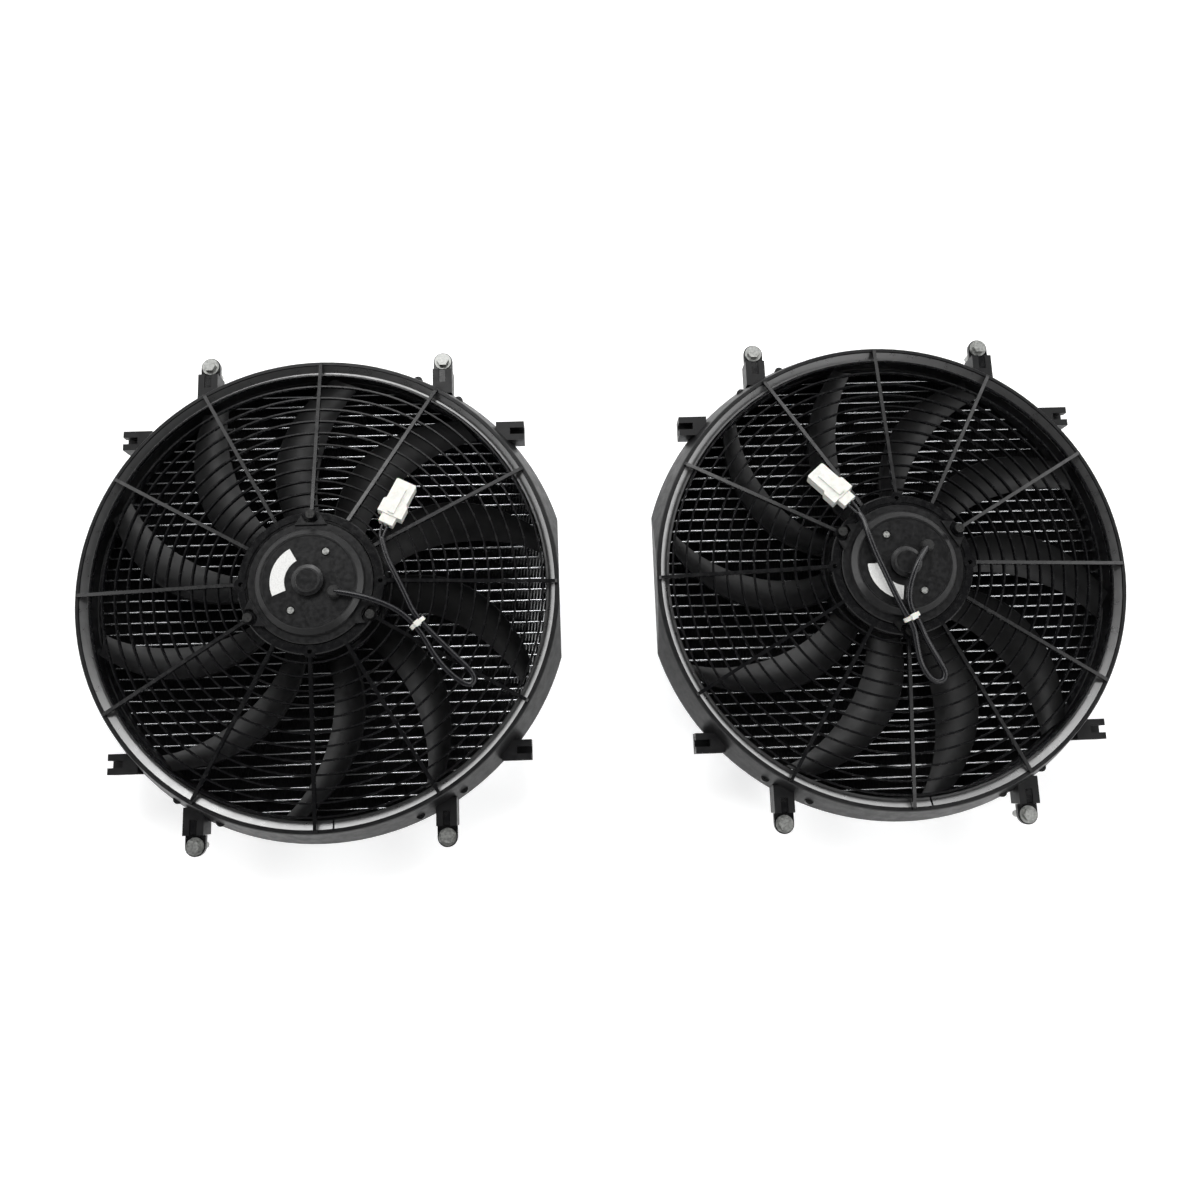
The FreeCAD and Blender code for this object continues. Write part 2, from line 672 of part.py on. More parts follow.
def make_feet(unit):
    name = unit["name"]
    low = size("slot_floor")
    plate_top = low + size("foot_thick")
    tongue = size("foot_tongue") / 2
    half = size("foot_wide") / 2
    bolt_x = size("foot_bolt_across")
    bolt_y = size("foot_bolt_along")
    start = size("slot_start") + size("slide_gap")
    feet = new_body(name + "_mounting_feet")
    bolts = new_body(name + "_foot_bolts")
    washers = new_body(name + "_foot_washers")
    nuts = new_body(name + "_foot_nuts")
    plates, ribs, holes, flanges, heads, shanks, ends, rings, hexagons = ([] for _ in range(9))
    neck = size("lug_reach") + size("slide_gap")
    for across_sign in (-1, 1):
        for along_sign in (-1, 1):
            x = bolt_x * across_sign
            y = bolt_y * along_sign
            plates.append([
                (x - tongue, start * along_sign),
                (x - tongue, neck * along_sign),
                (x - half, neck * along_sign),
                (x - half, y, half * along_sign),
                (x + half, y),
                (x + half, neck * along_sign),
                (x + tongue, neck * along_sign),
                (x + tongue, start * along_sign),
            ])
            rib_half = size("foot_rib_wide") / 2
            stretch = sorted((start * along_sign, size("foot_rib_end") * along_sign),
                             key=lambda end: end.value)
            ribs.append(rectangle(x - rib_half, x + rib_half, *stretch))
            holes.append((x, y, size("bolt_radius") + size("bolt_clearance")))
            flanges.append((x, y, size("bolt_flange_radius")))
            rings.append((x, y, size("washer_radius")))
            shanks.append((x, y, size("bolt_thread_radius")))
            ends.append((x, y, size("bolt_radius")))
            heads.append([(x + c[0], y + c[1]) for c in hexagon(size("bolt_head_flats"))])
            hexagons.append([(x + c[0], y + c[1]) for c in hexagon(size("nut_flats"))])
    raise_outline(feet, plates, low, plate_top)
    raise_outline(feet, ribs, plate_top, plate_top + size("foot_rib_high"))
    raise_outline(feet, holes, low, plate_top, cut=True)

    washer_low = low - size("washer_thick")
    nut_low = washer_low - size("nut_high")
    flange_top = plate_top + size("bolt_flange_thick")
    raise_outline(bolts, flanges, plate_top, flange_top)
    raise_outline(bolts, heads, flange_top, flange_top + size("bolt_head_high"))
    raise_outline(bolts, shanks, nut_low - size("slide_gap"), plate_top)
    raise_outline(bolts, ends, low - size("bolt_reach"), nut_low - size("slide_gap"))
    raise_outline(washers, rings, washer_low, low)
    raise_outline(washers, holes, washer_low, low, cut=True)
    raise_outline(nuts, hexagons, nut_low, washer_low)
    raise_outline(nuts, shanks, nut_low, washer_low, cut=True)
    for piece in (feet, bolts, washers, nuts):
        place(piece, unit)
    return [feet, bolts, washers, nuts]


def make_guard(unit):
    """Twelve spokes and their rings fall like a low cone from the motor seat to the rim."""
    guard = new_body(unit["name"] + "_guard")
    seat_top = size("seat_height")
    seat_low = seat_top - size("seat_deep")
    inner = size("seat_inner")
    outer = size("seat_outer")
    lip = size("seat_lip")
    turn_profile(guard, [
        (inner, seat_low),
        (outer, seat_low),
        (outer, seat_top - lip),
        (outer - lip, seat_top),
        (inner + lip * 2, seat_top),
        (inner + lip * 2, seat_top - lip),
        (inner, seat_top - lip),
    ])

    rim = size("rim_radius")
    landing = rim - size("rim_land")
    deep = size("spoke_deep")
    root = (inner + outer) / 2
    sketch = new_sketch(guard, "YZ_Plane", -size("spoke_wide") / 2)
    draw(sketch, [
        (root, seat_top - deep),
        (outer, seat_top - deep),
        (landing, size("rim_height")),
        (rim - 1, size("rim_height")),
        (rim - 1, spoke_top(rim) - 0.6),
        (rim - 3, spoke_top(rim - 3)),
        (outer, seat_top),
        (root, seat_top),
    ])
    spoke = guard.newObject("PartDesign::Pad", "Spoke")
    spoke.Profile = sketch
    bind(spoke, "Length", size("spoke_wide"))
    repeat_round(guard, [spoke], size("spoke_count"))

    half = size("ring_wide") / 2
    half_top = size("ring_top") / 2
    sketch = new_sketch(guard, "XZ_Plane")
    for number in range(int(size("ring_count").value)):
        radius = size("ring_first") + size("ring_pitch") * number
        top = spoke_top(radius) - size("ring_below")
        low = top - size("ring_deep")
        draw(sketch, [
            (radius - half, low),
            (radius + half, low),
            (radius + half_top, top),
            (radius - half_top, top),
        ])
    rings = guard.newObject("PartDesign::Revolution", "Rings")
    rings.Profile = sketch
    rings.ReferenceAxis = (sketch, ["V_Axis"])
    rings.Angle = 360

    circle = size("motor_screw_circle")
    boss_angles = (0, 90, 180, 270, 210, 330)
    bosses = [(*polar_point(circle, angle), size("seat_boss_radius")) for angle in boss_angles]
    for boss in bosses:
        raise_outline(guard, [boss], seat_low, seat_top)
    pilots = [(*polar_point(circle, angle), size("motor_screw_radius")) for angle in boss_angles]
    raise_outline(guard, pilots, seat_low, seat_top, cut=True)
    # The screw bosses stay clear of the end cap, which passes through the seat.
    turn_profile(guard, rectangle(0, inner, seat_low - 1, seat_top + 1), cut=True)
    place(guard, unit, turn=unit["guard_turn"])
    return [guard]


def blade_outline(chord, pitch, middle_x, middle_z):
    """A thin hollow-faced section whose leading edge, on the +X side, is the lower one."""
    half = chord / 2
    thick = size("blade_thick")
    lead = (middle_x + half * cosine(pitch), middle_z - half * sine(pitch))
    trail = (middle_x - half * cosine(pitch), middle_z + half * sine(pitch))
    back = (thick * sine(pitch), thick * cosine(pitch))
    return [
        (lead[0], lead[1], size("blade_curve")),
        (trail[0], trail[1]),
        (trail[0] - back[0], trail[1] - back[1], -(size("blade_curve") + thick)),
        (lead[0] - back[0], lead[1] - back[1]),
    ]


def make_rotor(unit):
    rotor = new_body(unit["name"] + "_fan_rotor")
    radius = size("hub_radius")
    wall = size("hub_wall")
    low = size("hub_low")
    high = size("hub_high")
    bevel = size("hub_bevel")
    boss = size("hub_boss_radius")
    shaft = size("shaft_radius")
    turn_profile(rotor, [
        (shaft, low),
        (radius - bevel, low),
        (radius, low + bevel),
        (radius, high),
        (radius - wall, high),
        (radius - wall, low + bevel + wall / 2),
        (radius - bevel - wall / 2, low + wall),
        (boss, low + wall),
        (boss, size("hub_boss_high")),
        (shaft, size("hub_boss_high")),
    ])
    rib = raise_outline(
        rotor,
        [rectangle(-size("hub_rib_wide") / 2, size("hub_rib_wide") / 2, boss - 1, radius - wall / 2)],
        low + wall / 2,
        size("hub_rib_high"),
    )
    sections = []
    for reach, sweep, chord, pitch in BLADE_SECTIONS:
        reach, sweep, chord, pitch = (as_size(number) for number in (reach, sweep, chord, pitch))
        sketch = new_sketch(rotor, "XZ_Plane", -reach * cosine(sweep))
        draw(sketch, blade_outline(chord, pitch, reach * sine(sweep), size("blade_middle")))
        sections.append(sketch)
    blade = rotor.newObject("PartDesign::AdditiveLoft", "Blade")
    blade.Profile = sections[0]
    blade.Sections = sections[1:]
    blade.Ruled = False
    repeat_round(rotor, [rib, blade], size("blade_count"))
    tip = size("blade_tip")
    turn_profile(rotor, rectangle(tip, tip * 1.3, -size("hub_high"), size("hub_high") * 2), cut=True)
    place(rotor, unit, turn=unit["rotor_turn"])

    nut = new_body(unit["name"] + "_rotor_nut")
    nut_low = low - size("rotor_nut_high")
    raise_outline(nut, [hexagon(size("rotor_nut_flats"))], nut_low, low)
    raise_outline(nut, [(0, 0, shaft)], nut_low, low, cut=True)
    place(nut, unit)

    axle = new_body(unit["name"] + "_motor_shaft")
    turn_profile(axle, [
        (0, size("shaft_low")),
        (shaft - 0.6, size("shaft_low")),
        (shaft, size("shaft_low") + 0.6),
        (shaft, size("shaft_high") - 0.6),
        (shaft - 0.6, size("shaft_high")),
        (0, size("shaft_high")),
    ])
    place(axle, unit)
    return [rotor, nut, axle]


def make_motor_case(unit):
    name = unit["name"]
    turn = unit["motor_turn"]
    can = new_body(name + "_motor_can")
    radius = size("can_radius")
    wall = size("can_wall")
    bottom = size("can_bottom")
    bearing = size("bearing_radius")
    nose = size("nose_radius")
    turn_profile(can, [
        (size("nose_lip"), size("nose_bottom")),
        (nose, size("nose_bottom")),
        (nose, bottom),
        (radius - 3, bottom),
        (radius, bottom + 3),
        (radius, size("can_top")),
        (radius - wall, size("can_top")),
        (radius - wall, bottom + 3 + wall / 2),
        (radius - 3 - wall / 2, bottom + wall),
        (bearing, bottom + wall),
        (bearing, size("bearing_front")),
        (size("nose_lip"), size("bearing_front")),
    ])
    place(can, unit, turn=turn)

    cap = new_body(name + "_motor_end_cap")
    flange = size("can_top")
    inner = radius - wall
    face = size("cap_face")
    cap_wall = size("cap_wall")
    boss = size("cap_boss_radius")
    rear = size("bearing_rear")
    edge = size("cap_edge")
    turn_profile(cap, [
        (size("cap_radius"), flange),
        (size("cap_radius"), flange + size("cap_flange") - edge),
        (size("cap_radius") - edge, flange + size("cap_flange")),
        (size("cap_shoulder") + edge * 2, flange + size("cap_flange")),
        (size("cap_shoulder"), size("cap_shoulder_high")),
        (size("cap_face_radius") + edge, size("cap_rim") - edge),
        (size("cap_face_radius"), size("cap_rim")),
        (size("cap_face_radius") - size("cap_rim_wide"), size("cap_rim")),
        (size("cap_face_radius") - size("cap_rim_wide") - edge, face),
        (boss, face),
        (boss, size("cap_boss_high")),
        (size("cap_boss_crown"), size("cap_boss_high") + 0.6),
        (size("cap_boss_crown") - 1.4, size("cap_boss_top")),
        (0, size("cap_boss_top")),
        (0, rear + size("bearing_wide") + 0.2),
        (bearing - 2, rear + size("bearing_wide") + 0.2),
        (bearing - 2, rear + size("bearing_wide")),
        (bearing, rear + size("bearing_wide")),
        (bearing, rear),
        (boss, rear),
        (boss, face - cap_wall),
        (size("cap_face_radius") - cap_wall, face - cap_wall),
        (inner - cap_wall, flange + size("cap_flange")),
        (inner - cap_wall / 2, flange - 2),
        (inner, flange - 2),
        (inner, flange),
    ])
    ear = size("ear_radius")
    base = size("ear_base")
    circle = size("motor_screw_circle")
    ears = raise_outline(
        cap,
        [[(-base, size("ear_root")), (base, size("ear_root")), (ear, circle, ear), (-ear, circle)]],
        size("seat_height"),
        size("seat_height") + size("ear_thick"),
    )
    repeat_round(cap, [ears], as_size(3))
    holes = [(*polar_point(circle, 90 + 120 * number), size("motor_screw_radius"))
             for number in range(3)]
    raise_outline(cap, holes, size("seat_height"), size("seat_height") + size("ear_thick"), cut=True)
    posts = [(*polar_point(size("card_screw_circle"), angle), size("card_post_radius"))
             for angle in (60, 240)]
    card_top = size("card_low") + size("card_thick")
    raise_outline(cap, posts, card_top, face - 0.5)
    drills = [(*polar_point(size("card_screw_circle"), angle), size("card_screw_radius"))
              for angle in (60, 240)]
    drills.append((size("grommet_across"), size("grommet_along"), size("grommet_hole")))
    raise_outline(cap, drills, card_top, face, cut=True)
    recesses = [(*polar_point(size("card_screw_circle"), angle), size("screw_recess_radius"))
                for angle in (60, 240)]
    raise_outline(cap, recesses, face - size("screw_recess_deep"), face, cut=True)
    place(cap, unit, turn=turn)

    bearings = []
    for label, low in (("front_bearing", size("bearing_front")), ("rear_bearing", rear)):
        ring = new_body(f"{name}_{label}")
        bore = size("shaft_radius") + size("shaft_fit")
        wide = size("bearing_wide")
        turn_profile(ring, [
            (bore, low),
            (bearing * 0.55, low),
            (bearing * 0.57, low + 0.4),
            (bearing * 0.82, low + 0.4),
            (bearing * 0.84, low),
            (bearing, low),
            (bearing, low + wide),
            (bearing * 0.84, low + wide),
            (bearing * 0.82, low + wide - 0.4),
            (bearing * 0.57, low + wide - 0.4),
            (bearing * 0.55, low + wide),
            (bore, low + wide),
        ])
        place(ring, unit)
        bearings.append(ring)
    return [can, cap, *bearings]


def make_motor_inside(unit):
    name = unit["name"]
    turn = unit["motor_turn"]
    shaft = size("shaft_radius")
    inner = size("can_radius") - size("can_wall")
    magnet_inner = inner - size("magnet_thick")
    magnets = new_body(name + "_field_magnets")
    half = size("magnet_half_angle")
    magnet = raise_outline(
        magnets,
        [[
            (*polar_point(magnet_inner, 45 - half),),
            (*polar_point(inner, 45 - half), -inner),
            (*polar_point(inner, 45 + half),),
            (*polar_point(magnet_inner, 45 + half), magnet_inner),
        ]],
        size("magnet_low"),
        size("magnet_high"),
    )
    repeat_round(magnets, [magnet], as_size(4))
    place(magnets, unit, turn=turn)

    stack = new_body(name + "_armature_core")
    stack_radius = magnet_inner - size("magnet_gap")
    low = size("stack_low")
    high = size("stack_high")
    turn_profile(stack, rectangle(shaft, stack_radius, low, high))
    slot_half = size("stack_slot_wide") / 2
    slot = raise_outline(
        stack,
        [rectangle(size("stack_slot_floor"), stack_radius * 1.1, -slot_half, slot_half)],
        low, high, cut=True,
    )
    repeat_round(stack, [slot], size("stack_slots"))
    place(stack, unit)

    coils = new_body(name + "_armature_windings")
    coil_outer = stack_radius - size("coil_margin")
    end = size("coil_end")
    floor = size("stack_slot_floor")
    turn_profile(coils, [
        (floor - 4, low - end + 1),
        (floor - 3, low - end),
        (coil_outer - 3, low - end),
        (coil_outer, low - end + 1),
        (coil_outer, low),
        (floor - 4, low),
    ])
    bar = raise_outline(coils, [rectangle(floor, coil_outer, -slot_half, slot_half)], low, high)
    repeat_round(coils, [bar], size("stack_slots"))
    turn_profile(coils, [
        (floor - 4, high),
        (coil_outer, high),
        (coil_outer, high + end - 1),
        (coil_outer - 3, high + end),
        (floor - 3, high + end),
        (floor - 4, high + end - 1),
    ])
    place(coils, unit)

    commutator = new_body(name + "_commutator")
    radius = size("commutator_radius")
    com_low = size("commutator_low")
    com_high = size("commutator_high")
    turn_profile(commutator, rectangle(shaft, radius, com_low, com_high))
    groove = raise_outline(
        commutator,
        [rectangle(radius - 1.2, radius + 1, -as_size(0.4), as_size(0.4))],
        com_low, com_high, cut=True,
    )
    repeat_round(commutator, [groove], size("stack_slots"))
    place(commutator, unit)

    card = new_body(name + "_brush_card")
    card_low = size("card_low")
    card_high = card_low + size("card_thick")
    turn_profile(card, rectangle(size("card_hole"), size("card_radius"), card_low, card_high))
    drills = [(*polar_point(size("card_screw_circle"), angle), size("card_screw_radius"))
              for angle in (60, 240)]
    raise_outline(card, drills, card_low, card_high, cut=True)
    place(card, unit, turn=turn)

    brushes = new_body(name + "_carbon_brushes")
    near = radius + size("brush_gap")
    far = near + size("brush_long")
    wide = size("brush_wide") / 2
    raise_outline(
        brushes,
        [rectangle(near, far, -wide, wide), rectangle(-far, -near, -wide, wide)],
        card_low - size("brush_high"),
        card_low,
    )
    place(brushes, unit, turn=turn)
    return [magnets, stack, coils, commutator, card, brushes]


def make_motor_screws(unit):
    name = unit["name"]
    turn = unit["motor_turn"]
    circle = size("motor_screw_circle")
    seat = size("seat_height") + size("ear_thick")
    spots = [polar_point(circle, 90 + 120 * number) for number in range(3)]
    screws = new_body(name + "_motor_screws")
    head_top = seat + size("motor_screw_head_high")
    raise_outline(screws, [(*spot, size("motor_screw_head")) for spot in spots], seat, head_top)
    raise_outline(screws, [(*spot, size("motor_screw_radius")) for spot in spots],
                  seat - size("motor_screw_long"), seat)
    place(screws, unit, turn=turn)

    card_screws = new_body(name + "_card_screws")
    face = size("cap_face") - size("screw_recess_deep")
    spots = [polar_point(size("card_screw_circle"), angle) for angle in (60, 240)]
    raise_outline(card_screws, [(*spot, size("card_screw_head")) for spot in spots],
                  face, face + size("card_screw_head_high"))
    raise_outline(card_screws, [(*spot, size("card_screw_radius")) for spot in spots],
                  size("card_low"), face)
    place(card_screws, unit, turn=turn)
    return [screws, card_screws]


def make_motor_trim(unit):
    """The label on the motor's face and the rubber grommet that the lead comes out of."""
    name = unit["name"]
    turn = unit["motor_turn"]
    face = size("cap_face")
    label = new_body(name + "_motor_label")
    start = size("label_middle") - size("label_half_angle")
    end = size("label_middle") + size("label_half_angle")
    inner = size("label_inner")
    outer = size("label_outer")
    raise_outline(
        label,
        [[
            (*polar_point(inner, start),),
            (*polar_point(outer, start), -outer),
            (*polar_point(outer, end),),
            (*polar_point(inner, end), inner),
        ]],
        face,
        face + size("label_thick"),
    )
    place(label, unit, turn=turn)

    grommet = new_body(name + "_grommet_moulding")
    collar = size("grommet_collar")
    top = face + size("grommet_high")
    turn_profile(grommet, [
        (0, face - size("cap_wall")),
        (size("grommet_hole"), face - size("cap_wall")),
        (size("grommet_hole"), face),
        (collar, face),
        (collar, face + 1.6),
        (collar - 0.8, top - 1.5),
        (collar - 2, top),
        (0, top),
    ])
    turn_angle = as_size(0) if turn is None else as_size(turn)
    across = size("grommet_across") * cosine(turn_angle) - size("grommet_along") * sine(turn_angle)
    along = size("grommet_across") * sine(turn_angle) + size("grommet_along") * cosine(turn_angle)
    bind(grommet, "Placement.Base.x", across)
    bind(grommet, "Placement.Base.y", along)
    start, following = (Vector(*point) for point in unit["lead"][:2])
    bore = document.addObject("Part::Cylinder", "Bore")
    bind(bore, "Radius", size("wire_bundle") / 2 + size("lead_gap"))
    bind(bore, "Height", collar * 3)
    direction = (following - start).normalize()
    spot = start - direction * size("lead_gap").value
    bore.Placement = Placement(spot, Rotation(Vector(0, 0, 1), direction))
    bored = combine("Part::Cut", name + "_lead_grommet", grommet, bore)
    place(bored, unit)
    return [label, bored]


def lead_path(points):
    """Straight runs joined by arcs, each as large as the two runs beside it allow."""
    edges = []
    radii = []
    start = points[0]
    for before, corner, after in zip(points, points[1:], points[2:]):
        back = before - corner
        ahead = after - corner
        trim = 0.45 * min(back.Length, ahead.Length)
        turn = math.pi - back.getAngle(ahead)
        back.normalize()
        ahead.normalize()
        radii.append(trim / math.tan(turn / 2))
        arc_start = corner + back * trim
        arc_end = corner + ahead * trim
        inward = (back + ahead).normalize()
        to_centre = radii[-1] / math.cos(turn / 2)
        arc_middle = corner + inward * (to_centre - radii[-1])
        edges.append(Part.LineSegment(start, arc_start).toShape())
        edges.append(Part.Arc(arc_start, arc_middle, arc_end).toShape())
        start = arc_end
    edges.append(Part.LineSegment(start, points[-1]).toShape())
    return Part.Wire(edges), radii


def make_lead(unit):
    """The twin lead, as one plain tube round both of its wires."""
    up = size("core_depth").value
    points = [Vector(x, y, z + up) for x, y, z in unit["lead"]]
    path, radii = lead_path(points)
    radius = size("wire_bundle").value / 2
    circle = Part.Circle(points[0], points[1] - points[0], radius)
    section = Part.Wire([circle.toShape()])
    tube = path.makePipeShell([section], True, False)
    expected = math.pi * radius ** 2 * path.Length
    lead = document.addObject("Part::Feature", "Lead")
    lead.Label = unit["name"] + "_motor_lead"
    lead.Shape = tube
    bind(lead, "Placement.Base.x", unit["x"])
    print(lead.Label, "length", round(path.Length, 1),
          "volume ratio", round(tube.Volume / expected, 4),
          "radii", [round(bend, 1) for bend in radii])
    return [lead]


def make_plug(unit):
    """White two-way plug and its terminals, lying on the slope of the guard."""
    name = unit["name"]
    x, y, heading, under = unit["plug"]
    neck = size("plug_neck_long")
    collar_end = neck + size("plug_collar_long")
    end = collar_end + size("plug_long")
    half_wide = size("plug_wide") / 2
    half_collar = size("plug_collar_wide") / 2
    half_neck = size("plug_neck_wide") / 2
    half_thick = size("plug_thick") / 2
    neck_thick = size("plug_neck_thick") / 2
    cell = size("plug_cell_wide") / 2
    cell_high = size("plug_cell_high") / 2
    middles = (-size("plug_cell_spacing") / 2, size("plug_cell_spacing") / 2)

    housing = new_body(name + "_plug_housing")
    raise_outline(housing, [[
        (neck, -half_collar),
        (collar_end - 2, -half_collar),
        (collar_end, -half_wide),
        (end - 1, -half_wide),
        (end, 1 - half_wide),
        (end, half_wide - 1),
        (end - 1, half_wide),
        (collar_end, half_wide),
        (collar_end - 2, half_collar),
        (neck, half_collar),
    ]], -half_thick, half_thick)
    raise_outline(housing, [rectangle(0, neck, -half_neck, half_neck)], -neck_thick, neck_thick)
    latch = size("plug_latch_wide") / 2
    raise_outline(housing, [rectangle(neck + 2, end - 7, -latch, latch)],
                  half_thick, half_thick + size("plug_latch_high"))
    deep = size("plug_cell_deep")
    cells = [rectangle(middle - cell, middle + cell, -cell_high, cell_high) for middle in middles]
    raise_outline(housing, cells, end - deep, end, cut=True, plane="YZ_Plane")

    pins = new_body(name + "_plug_terminals")
    pin = size("pin_across") / 2
    stems = [rectangle(middle - pin, middle + pin, -pin, pin) for middle in middles]
    raise_outline(pins, stems, end - deep, end - deep + size("pin_long"), plane="YZ_Plane")

    # The plug lies 0.4 mm above the cone of the guard, along the line below its middle.
    fall = math.atan2(
        (spoke_top(size("seat_outer")) - spoke_top(size("rim_radius"))).value,
        (size("rim_radius") - size("seat_outer")).value,
    )
    downhill = Vector(math.cos(math.radians(under)), math.sin(math.radians(under)), 0)
    tilt_axis = Vector(-downhill.y, downhill.x, 0)
    tilt = Rotation(tilt_axis, math.degrees(fall))
    turn = tilt.multiply(Rotation(Vector(0, 0, 1), heading))
    normal = tilt.multVec(Vector(0, 0, 1))
    back = Vector(x, y, 0)
    radial = back.dot(downhill)
    cone = spoke_top(radial).value
    lift = normal * ((size("plug_thick").value / 2 + 0.4))
    spot = Vector(x, y, cone) + Vector(lift.x, lift.y, lift.z)
    spot = Vector(x, y, spot.z + (lift.x * downhill.x + lift.y * downhill.y) * math.tan(fall))
    for piece in (housing, pins):
        piece.Placement = Placement(spot, turn)
        bind(piece, "Placement.Base.x", unit["x"] + x)
        bind(piece, "Placement.Base.z", size("core_depth") + spot.z)
    print(housing.Label, "back face height", round(spot.z, 2))
    return [housing, pins]


def make_tie(unit):
    """Cable tie round the two strands of the lead: a closed strap with its square head."""
    x, y, z, heading, fall = unit["tie"]
    tie = new_body(unit["name"] + "_cable_tie")
    half_long = size("tie_inner_long") / 2
    half_high = size("tie_inner_high") / 2
    thick = size("tie_thick")
    half_wide = size("tie_wide") / 2
    outer_corner = half_high + thick
    raise_outline(tie, [[
        (-half_long + half_high, -outer_corner),
        (half_long - half_high, -outer_corner, -outer_corner),
        (half_long - half_high, outer_corner),
        (-half_long + half_high, outer_corner, -outer_corner),
    ]], -half_wide, half_wide, plane="YZ_Plane")
    raise_outline(tie, [[
        (-half_long + half_high, -half_high),
        (half_long - half_high, -half_high, -half_high),
        (half_long - half_high, half_high),
        (-half_long + half_high, half_high, -half_high),
    ]], -half_wide, half_wide, cut=True, plane="YZ_Plane")
    head = size("tie_head") / 2
    raise_outline(tie, [rectangle(-head, head, half_high + thick / 2, half_high + thick + 3)],
                  -head, head, plane="YZ_Plane")
    turn = Rotation(Vector(0, 0, 1), heading).multiply(Rotation(Vector(0, 1, 0), fall))
    tie.Placement = Placement(Vector(x, y, z), turn)
    bind(tie, "Placement.Base.x", unit["x"] + x)
    bind(tie, "Placement.Base.z", size("core_depth") + z)
    return [tie]


def check_document():
    for item in document.Objects:
        problems = [word for word in item.State if word in ("Invalid", "Error")]
        if problems:
            raise RuntimeError(f"{item.Label} ({item.Name}) is {problems}")


def write_parts(pieces):
    os.makedirs("parts", exist_ok=True)
    for piece in pieces:
        shape = piece.Shape
        if shape.isNull() or not shape.isValid() or not shape.Solids:
            raise RuntimeError(f"{piece.Label} has no valid solid")
        shape.exportStep(f"parts/{piece.Label}.step")
    print(len(pieces), "nodes,", sum(len(piece.Shape.Solids) for piece in pieces), "solids")


UNITS = [
    {
        "name": "left",
        "x": -size("fan_spacing") / 2,
        "guard_turn": None,
        "motor_turn": None,
        "rotor_turn": 12.3,
        "joint_across": 13.0,
        "lead": LEFT_LEAD,
        "tie": LEFT_TIE,
        "plug": LEFT_PLUG,
    },
    {
        "name": "right",
        "x": size("fan_spacing") / 2,
        "guard_turn": 180,
        "motor_turn": size("motor_turn_right"),
        "rotor_turn": -10.2,
        "joint_across": 15.0,
        "lead": RIGHT_LEAD,
        "tie": RIGHT_TIE,
        "plug": RIGHT_PLUG,
    },
]

MAKERS = [
    make_core,
    make_shroud,
    make_feet,
    make_guard,
    make_rotor,
    make_motor_case,
    make_motor_inside,
    make_motor_screws,
    make_motor_trim,
    make_lead,
    make_plug,
    make_tie,
]

sub_parts = []
for unit in UNITS:
    for maker in MAKERS:
        sub_parts += maker(unit)
document.recompute()
check_document()
write_parts(sub_parts)
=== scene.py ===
# %% [markdown]
# # A pair of radiator fans
# Two electric fans lie face up, each on its own round piece of radiator core. The CAD model
# already holds the mouldings, blades, motors and fasteners at their real size, so this script
# keeps those pieces and gives them their finishes. It models what CAD leaves plain: the sleeves and
# wires of the two leads, the polished lips of the ducts and the folded fins between the tubes.

import json
import math

import bpy
from mathutils import Matrix, Vector


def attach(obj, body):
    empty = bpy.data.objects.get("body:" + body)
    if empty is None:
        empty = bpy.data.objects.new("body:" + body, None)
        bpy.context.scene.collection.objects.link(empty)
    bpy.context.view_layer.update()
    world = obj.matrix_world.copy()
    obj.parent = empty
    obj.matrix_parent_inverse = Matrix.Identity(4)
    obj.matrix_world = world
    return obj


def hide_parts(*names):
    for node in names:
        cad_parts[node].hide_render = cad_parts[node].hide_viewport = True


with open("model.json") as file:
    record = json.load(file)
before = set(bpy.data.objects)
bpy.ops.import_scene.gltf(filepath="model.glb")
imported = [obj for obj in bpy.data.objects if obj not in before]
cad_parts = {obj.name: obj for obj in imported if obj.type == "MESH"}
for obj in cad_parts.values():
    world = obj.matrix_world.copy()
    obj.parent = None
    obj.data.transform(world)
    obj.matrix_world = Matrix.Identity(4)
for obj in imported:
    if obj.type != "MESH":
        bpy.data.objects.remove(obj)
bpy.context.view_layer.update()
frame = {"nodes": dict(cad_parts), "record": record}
nodes = frame["nodes"]
SIDES = ("left", "right")

# %% Sizes that the new pieces share with the CAD model
MM = 0.001
FAN_X = {"left": -256.4 * MM, "right": 256.4 * MM}
CORE_DEPTH = 40 * MM
TUBE_PITCH = 10.166 * MM
TUBE_THICK = 1.8 * MM
CORE_RADIUS = 217 * MM
CORE_FLAT = 208 * MM
BAND_WALL = 1.5 * MM

# %% [markdown]
# ## Camera
# The photograph was taken from nearly straight above, a little from the lower side and leaning
# to the left, at about 0.9 m. The place and turn of the camera come from fitting the rims, the
# guard's screws and the feet to the photograph. A camera in Blender looks along its own -Z.

# %% Camera
camera_data = bpy.data.cameras.new("Camera")
camera_data.sensor_width = 36
camera_data.lens = 30.254
camera_data.clip_end = 20
camera = bpy.data.objects.new("Camera", camera_data)
bpy.context.scene.collection.objects.link(camera)
turn_vector = Vector((-0.176911, 0.0276832, 0.0343798))
world_to_camera = Matrix.Rotation(turn_vector.length, 3, turn_vector.normalized())
camera_place = Vector((-35.377, -175.583, 916.369 + 40)) * MM
camera.matrix_world = Matrix.Translation(camera_place) @ world_to_camera.transposed().to_4x4()
bpy.context.scene.camera = camera
bpy.context.scene.view_settings.view_transform = "Standard"
print("camera at", [round(value, 3) for value in camera_place])

# %% [markdown]
# ## Leads
# Each lead is a smooth black sleeve that leaves the motor's face, runs through a cable tie, makes
# a loop over the guard and comes back through the tie. Just before the plug the sleeve ends, and
# the two thin wires inside it part and run into the plug. The route is one smooth spline, and
# sleeve and wires are round sections carried along it. Its points are in millimetres, measured
# from the fan's axis and from the front of the core.

